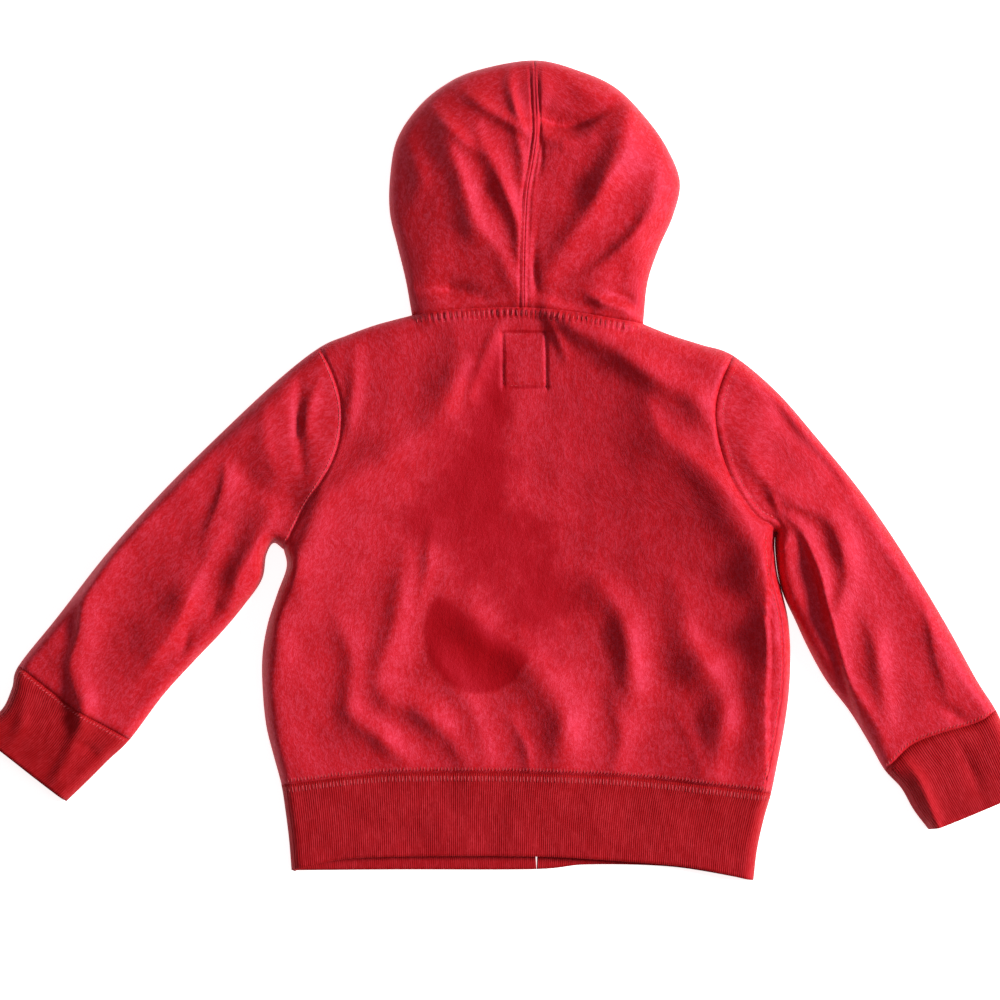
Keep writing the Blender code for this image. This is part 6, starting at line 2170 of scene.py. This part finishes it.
@dataclass
class Zip:
    """The zip at the centre front, which lies under the garment."""

    tape: Material
    teeth: Material
    metal: Material

    def make(self) -> None:
        """Make the tapes and the chain, and finish the slider and its tab."""
        self.chain()
        for side in (-1, 1):
            self.ribbon(side)
        for node in ("zip_slider", "zip_pull"):
            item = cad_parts[node]
            for index in range(len(item.data.materials)):
                item.data.materials[index] = self.metal

    def line(self, start: float, end: float, step: float) -> Array:
        """Points down the middle of the zip."""
        line = Curve(ZIP_LINE).line
        y = np.linspace(start, end, max(2, round(abs(end - start) / step)))
        return np.column_stack([np.interp(y, line[:, 1], line[:, 0]), y])

    def chain(self) -> None:
        """The interlocked teeth."""
        low, high = (np.array(corner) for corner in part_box("zip_chain"))
        points = self.line(low[1] + TOOTH_END, high[1] - TOOTH_END, CHAIN_STEP)
        height = (low[2] + high[2]) / 2.0
        data = bpy.data.meshes.new("zip_chain_teeth")
        places = [(x, y, height) for x, y in points]
        data.from_pydata(places, [(k, k + 1) for k in range(len(places) - 1)], [])
        values = {
            "Spacing": TOOTH_SPACING, "Width": TOOTH_WIDTH, "Height": TOOTH_HEIGHT, "Shift": TOOTH_SHIFT,
            "Nylon": self.teeth,
        }
        piece = teeth_tree().run("zip_chain_teeth", data, values)
        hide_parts("zip_chain")
        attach(piece, GARMENT)

    def ribbon(self, side: int) -> None:
        """Weave one tape.

        Args:
            side: The left (-1) or the right (1).
        """
        node = f"zip_tape_{hand(side)}"
        low, high = (np.array(corner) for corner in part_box(node))
        middle = (low[2] + high[2]) / 2.0
        points = self.line(low[1], high[1], TAPE_STEP)
        across = np.linspace(0.0, 1.0, TAPE_COLUMNS)
        centre = (low[0] + high[0]) / 2.0 - points[:, 0].mean()
        width = np.linspace(-TAPE_WIDTH / 2.0, TAPE_WIDTH / 2.0, len(across))
        grid = points[:, None] + np.stack([centre + width, np.zeros_like(width)], axis=-1)[None]
        wave = TAPE_WAVE * np.sin(grid[..., 1] / TAPE_WAVE_RUN) * np.sin(across * math.pi)[None]
        half = TAPE_THICKNESS / 2.0
        flat = grid.reshape(-1, 2)
        outer = np.column_stack([flat, middle + half + wave.ravel()])
        inner = np.column_stack([flat, middle - half + wave.ravel()])
        surface = Surface(outer, inner, grid_quads(*grid.shape[:2]), cloth_uv(grid))
        piece = walled(f"{node}_cloth", surface, self.tape)
        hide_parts(node)
        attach(piece, GARMENT)


# ---------------------------------------------------------------------------------------------------------------
# Studio
# ---------------------------------------------------------------------------------------------------------------


@dataclass(frozen=True)
class Lamp:
    """A soft box that points at the garment."""

    name: str
    place: tuple[float, float, float]
    size: float
    power: float
    colour: Colour = (1.0, 1.0, 1.0)


@dataclass(frozen=True)
class Studio:
    """A white table under soft light, and a camera straight above it."""

    centre: Point = (-0.00064, -0.0192)
    height: float = 3.0
    view_width: float = 0.640
    level: float = 0.003  # where the view is that wide
    sensor: float = 36.0
    floor: float = -0.0003
    ambient: float = 0.17
    lamps: tuple[Lamp, ...] = (
        Lamp("key", (5.11, 0.54, 3.09), 1.50, 525.0, (1.0, 0.985, 0.98)),
        Lamp("top", (0.25, 0.55, 3.20), 1.60, 10.0),
    )

    def build(self) -> None:
        """Set up the floor, the lamps, the surroundings and the camera."""
        scene = bpy.context.scene
        scene.view_settings.view_transform = "Standard"
        self.table()
        self.surroundings(scene)
        for lamp in self.lamps:
            self.light(lamp)
        data = bpy.data.cameras.new("overhead")
        data.sensor_width = self.sensor
        data.lens = self.sensor * (self.height - self.level) / self.view_width
        camera = shown("overhead", data)
        camera.location = (*self.centre, self.height)
        scene.camera = camera

    def table(self) -> None:
        """The white table."""
        mesh = bmesh.new()
        bmesh.ops.create_grid(mesh, x_segments=2, y_segments=2, size=3.0)
        data = bpy.data.meshes.new("table")
        mesh.to_mesh(data)
        mesh.free()
        material, wiring, shader = blank("white table")
        grain = wiring.noise(wiring.object_place(), 40.0, 2.0)
        settle(shader, Base_Color=wiring.blend(grain, (0.90, 0.90, 0.90), (0.92, 0.92, 0.92)))
        settle(shader, Roughness=0.9, Specular_IOR_Level=0.1)
        settle(shader, Emission_Color=(1.0, 1.0, 1.0, 1.0), Emission_Strength=0.80)
        data.materials.append(material)
        item = shown("table", data)
        item.location = (0.0, 0.0, self.floor)

    def surroundings(self, scene: bpy.types.Scene) -> None:
        """Even light from all round.

        Args:
            scene: The scene that they light.
        """
        world = bpy.data.worlds.new("studio")
        world.use_nodes = True
        back = world.node_tree.nodes["Background"]
        back.inputs["Color"].default_value = (1.0, 0.99, 0.985, 1.0)
        back.inputs["Strength"].default_value = self.ambient
        scene.world = world

    def light(self, lamp: Lamp) -> None:
        """One soft box.

        Args:
            lamp: Its place, size, power and colour.
        """
        data = bpy.data.lights.new(lamp.name, "AREA")
        data.shape = "DISK"
        data.size = lamp.size
        data.energy = lamp.power
        data.color = lamp.colour
        item = shown(lamp.name, data)
        item.location = lamp.place
        aim = np.array([*self.centre, 0.0]) - np.array(lamp.place)
        turn = math.atan2(aim[1], aim[0]) - math.pi / 2.0
        item.rotation_euler = (math.acos(-aim[2] / np.linalg.norm(aim)), 0.0, turn)


# ---------------------------------------------------------------------------------------------------------------


def main() -> None:
    """Build the hoodie and its studio."""
    logging.basicConfig(level=logging.INFO, format="%(name)s: %(message)s")
    groups = Groups()
    fleece = Fleece().material(groups)
    stained_and_shaded = Fleece(name="brushed fleece of the back", patches=STAINS_AND_PAINTED_SHADE).material(groups)
    rib = Rib().material(groups)
    thread = Thread().material(groups)
    tape = Tape().material(groups)
    teeth = Tape("moulded nylon", (0.30, 0.006, 0.010), (0.42, 0.020, 0.026), 150.0, 0.42).material(groups)
    metal = Metal().material(groups)

    pattern = Pattern()
    cloth = Cloth(pattern.edges.values())
    BackPanel(pattern, cloth, stained_and_shaded).make()
    FrontPanels(pattern, cloth, fleece).make()
    HemBand(pattern, cloth, rib).make()
    for side in (-1, 1):
        Sleeve(pattern, cloth, fleece, side=side).make()
        Cuff(pattern, cloth, rib, side=side).make()
        Hood(pattern, cloth, fleece, side=side).make()
    sewing = Sewing(cloth, thread)
    for seed, row in enumerate(stitch_rows(), start=31):
        sewing.sew(row, seed)
    Zip(tape, teeth, metal).make()
    Studio().build()


if __name__ == "__main__":
    main()
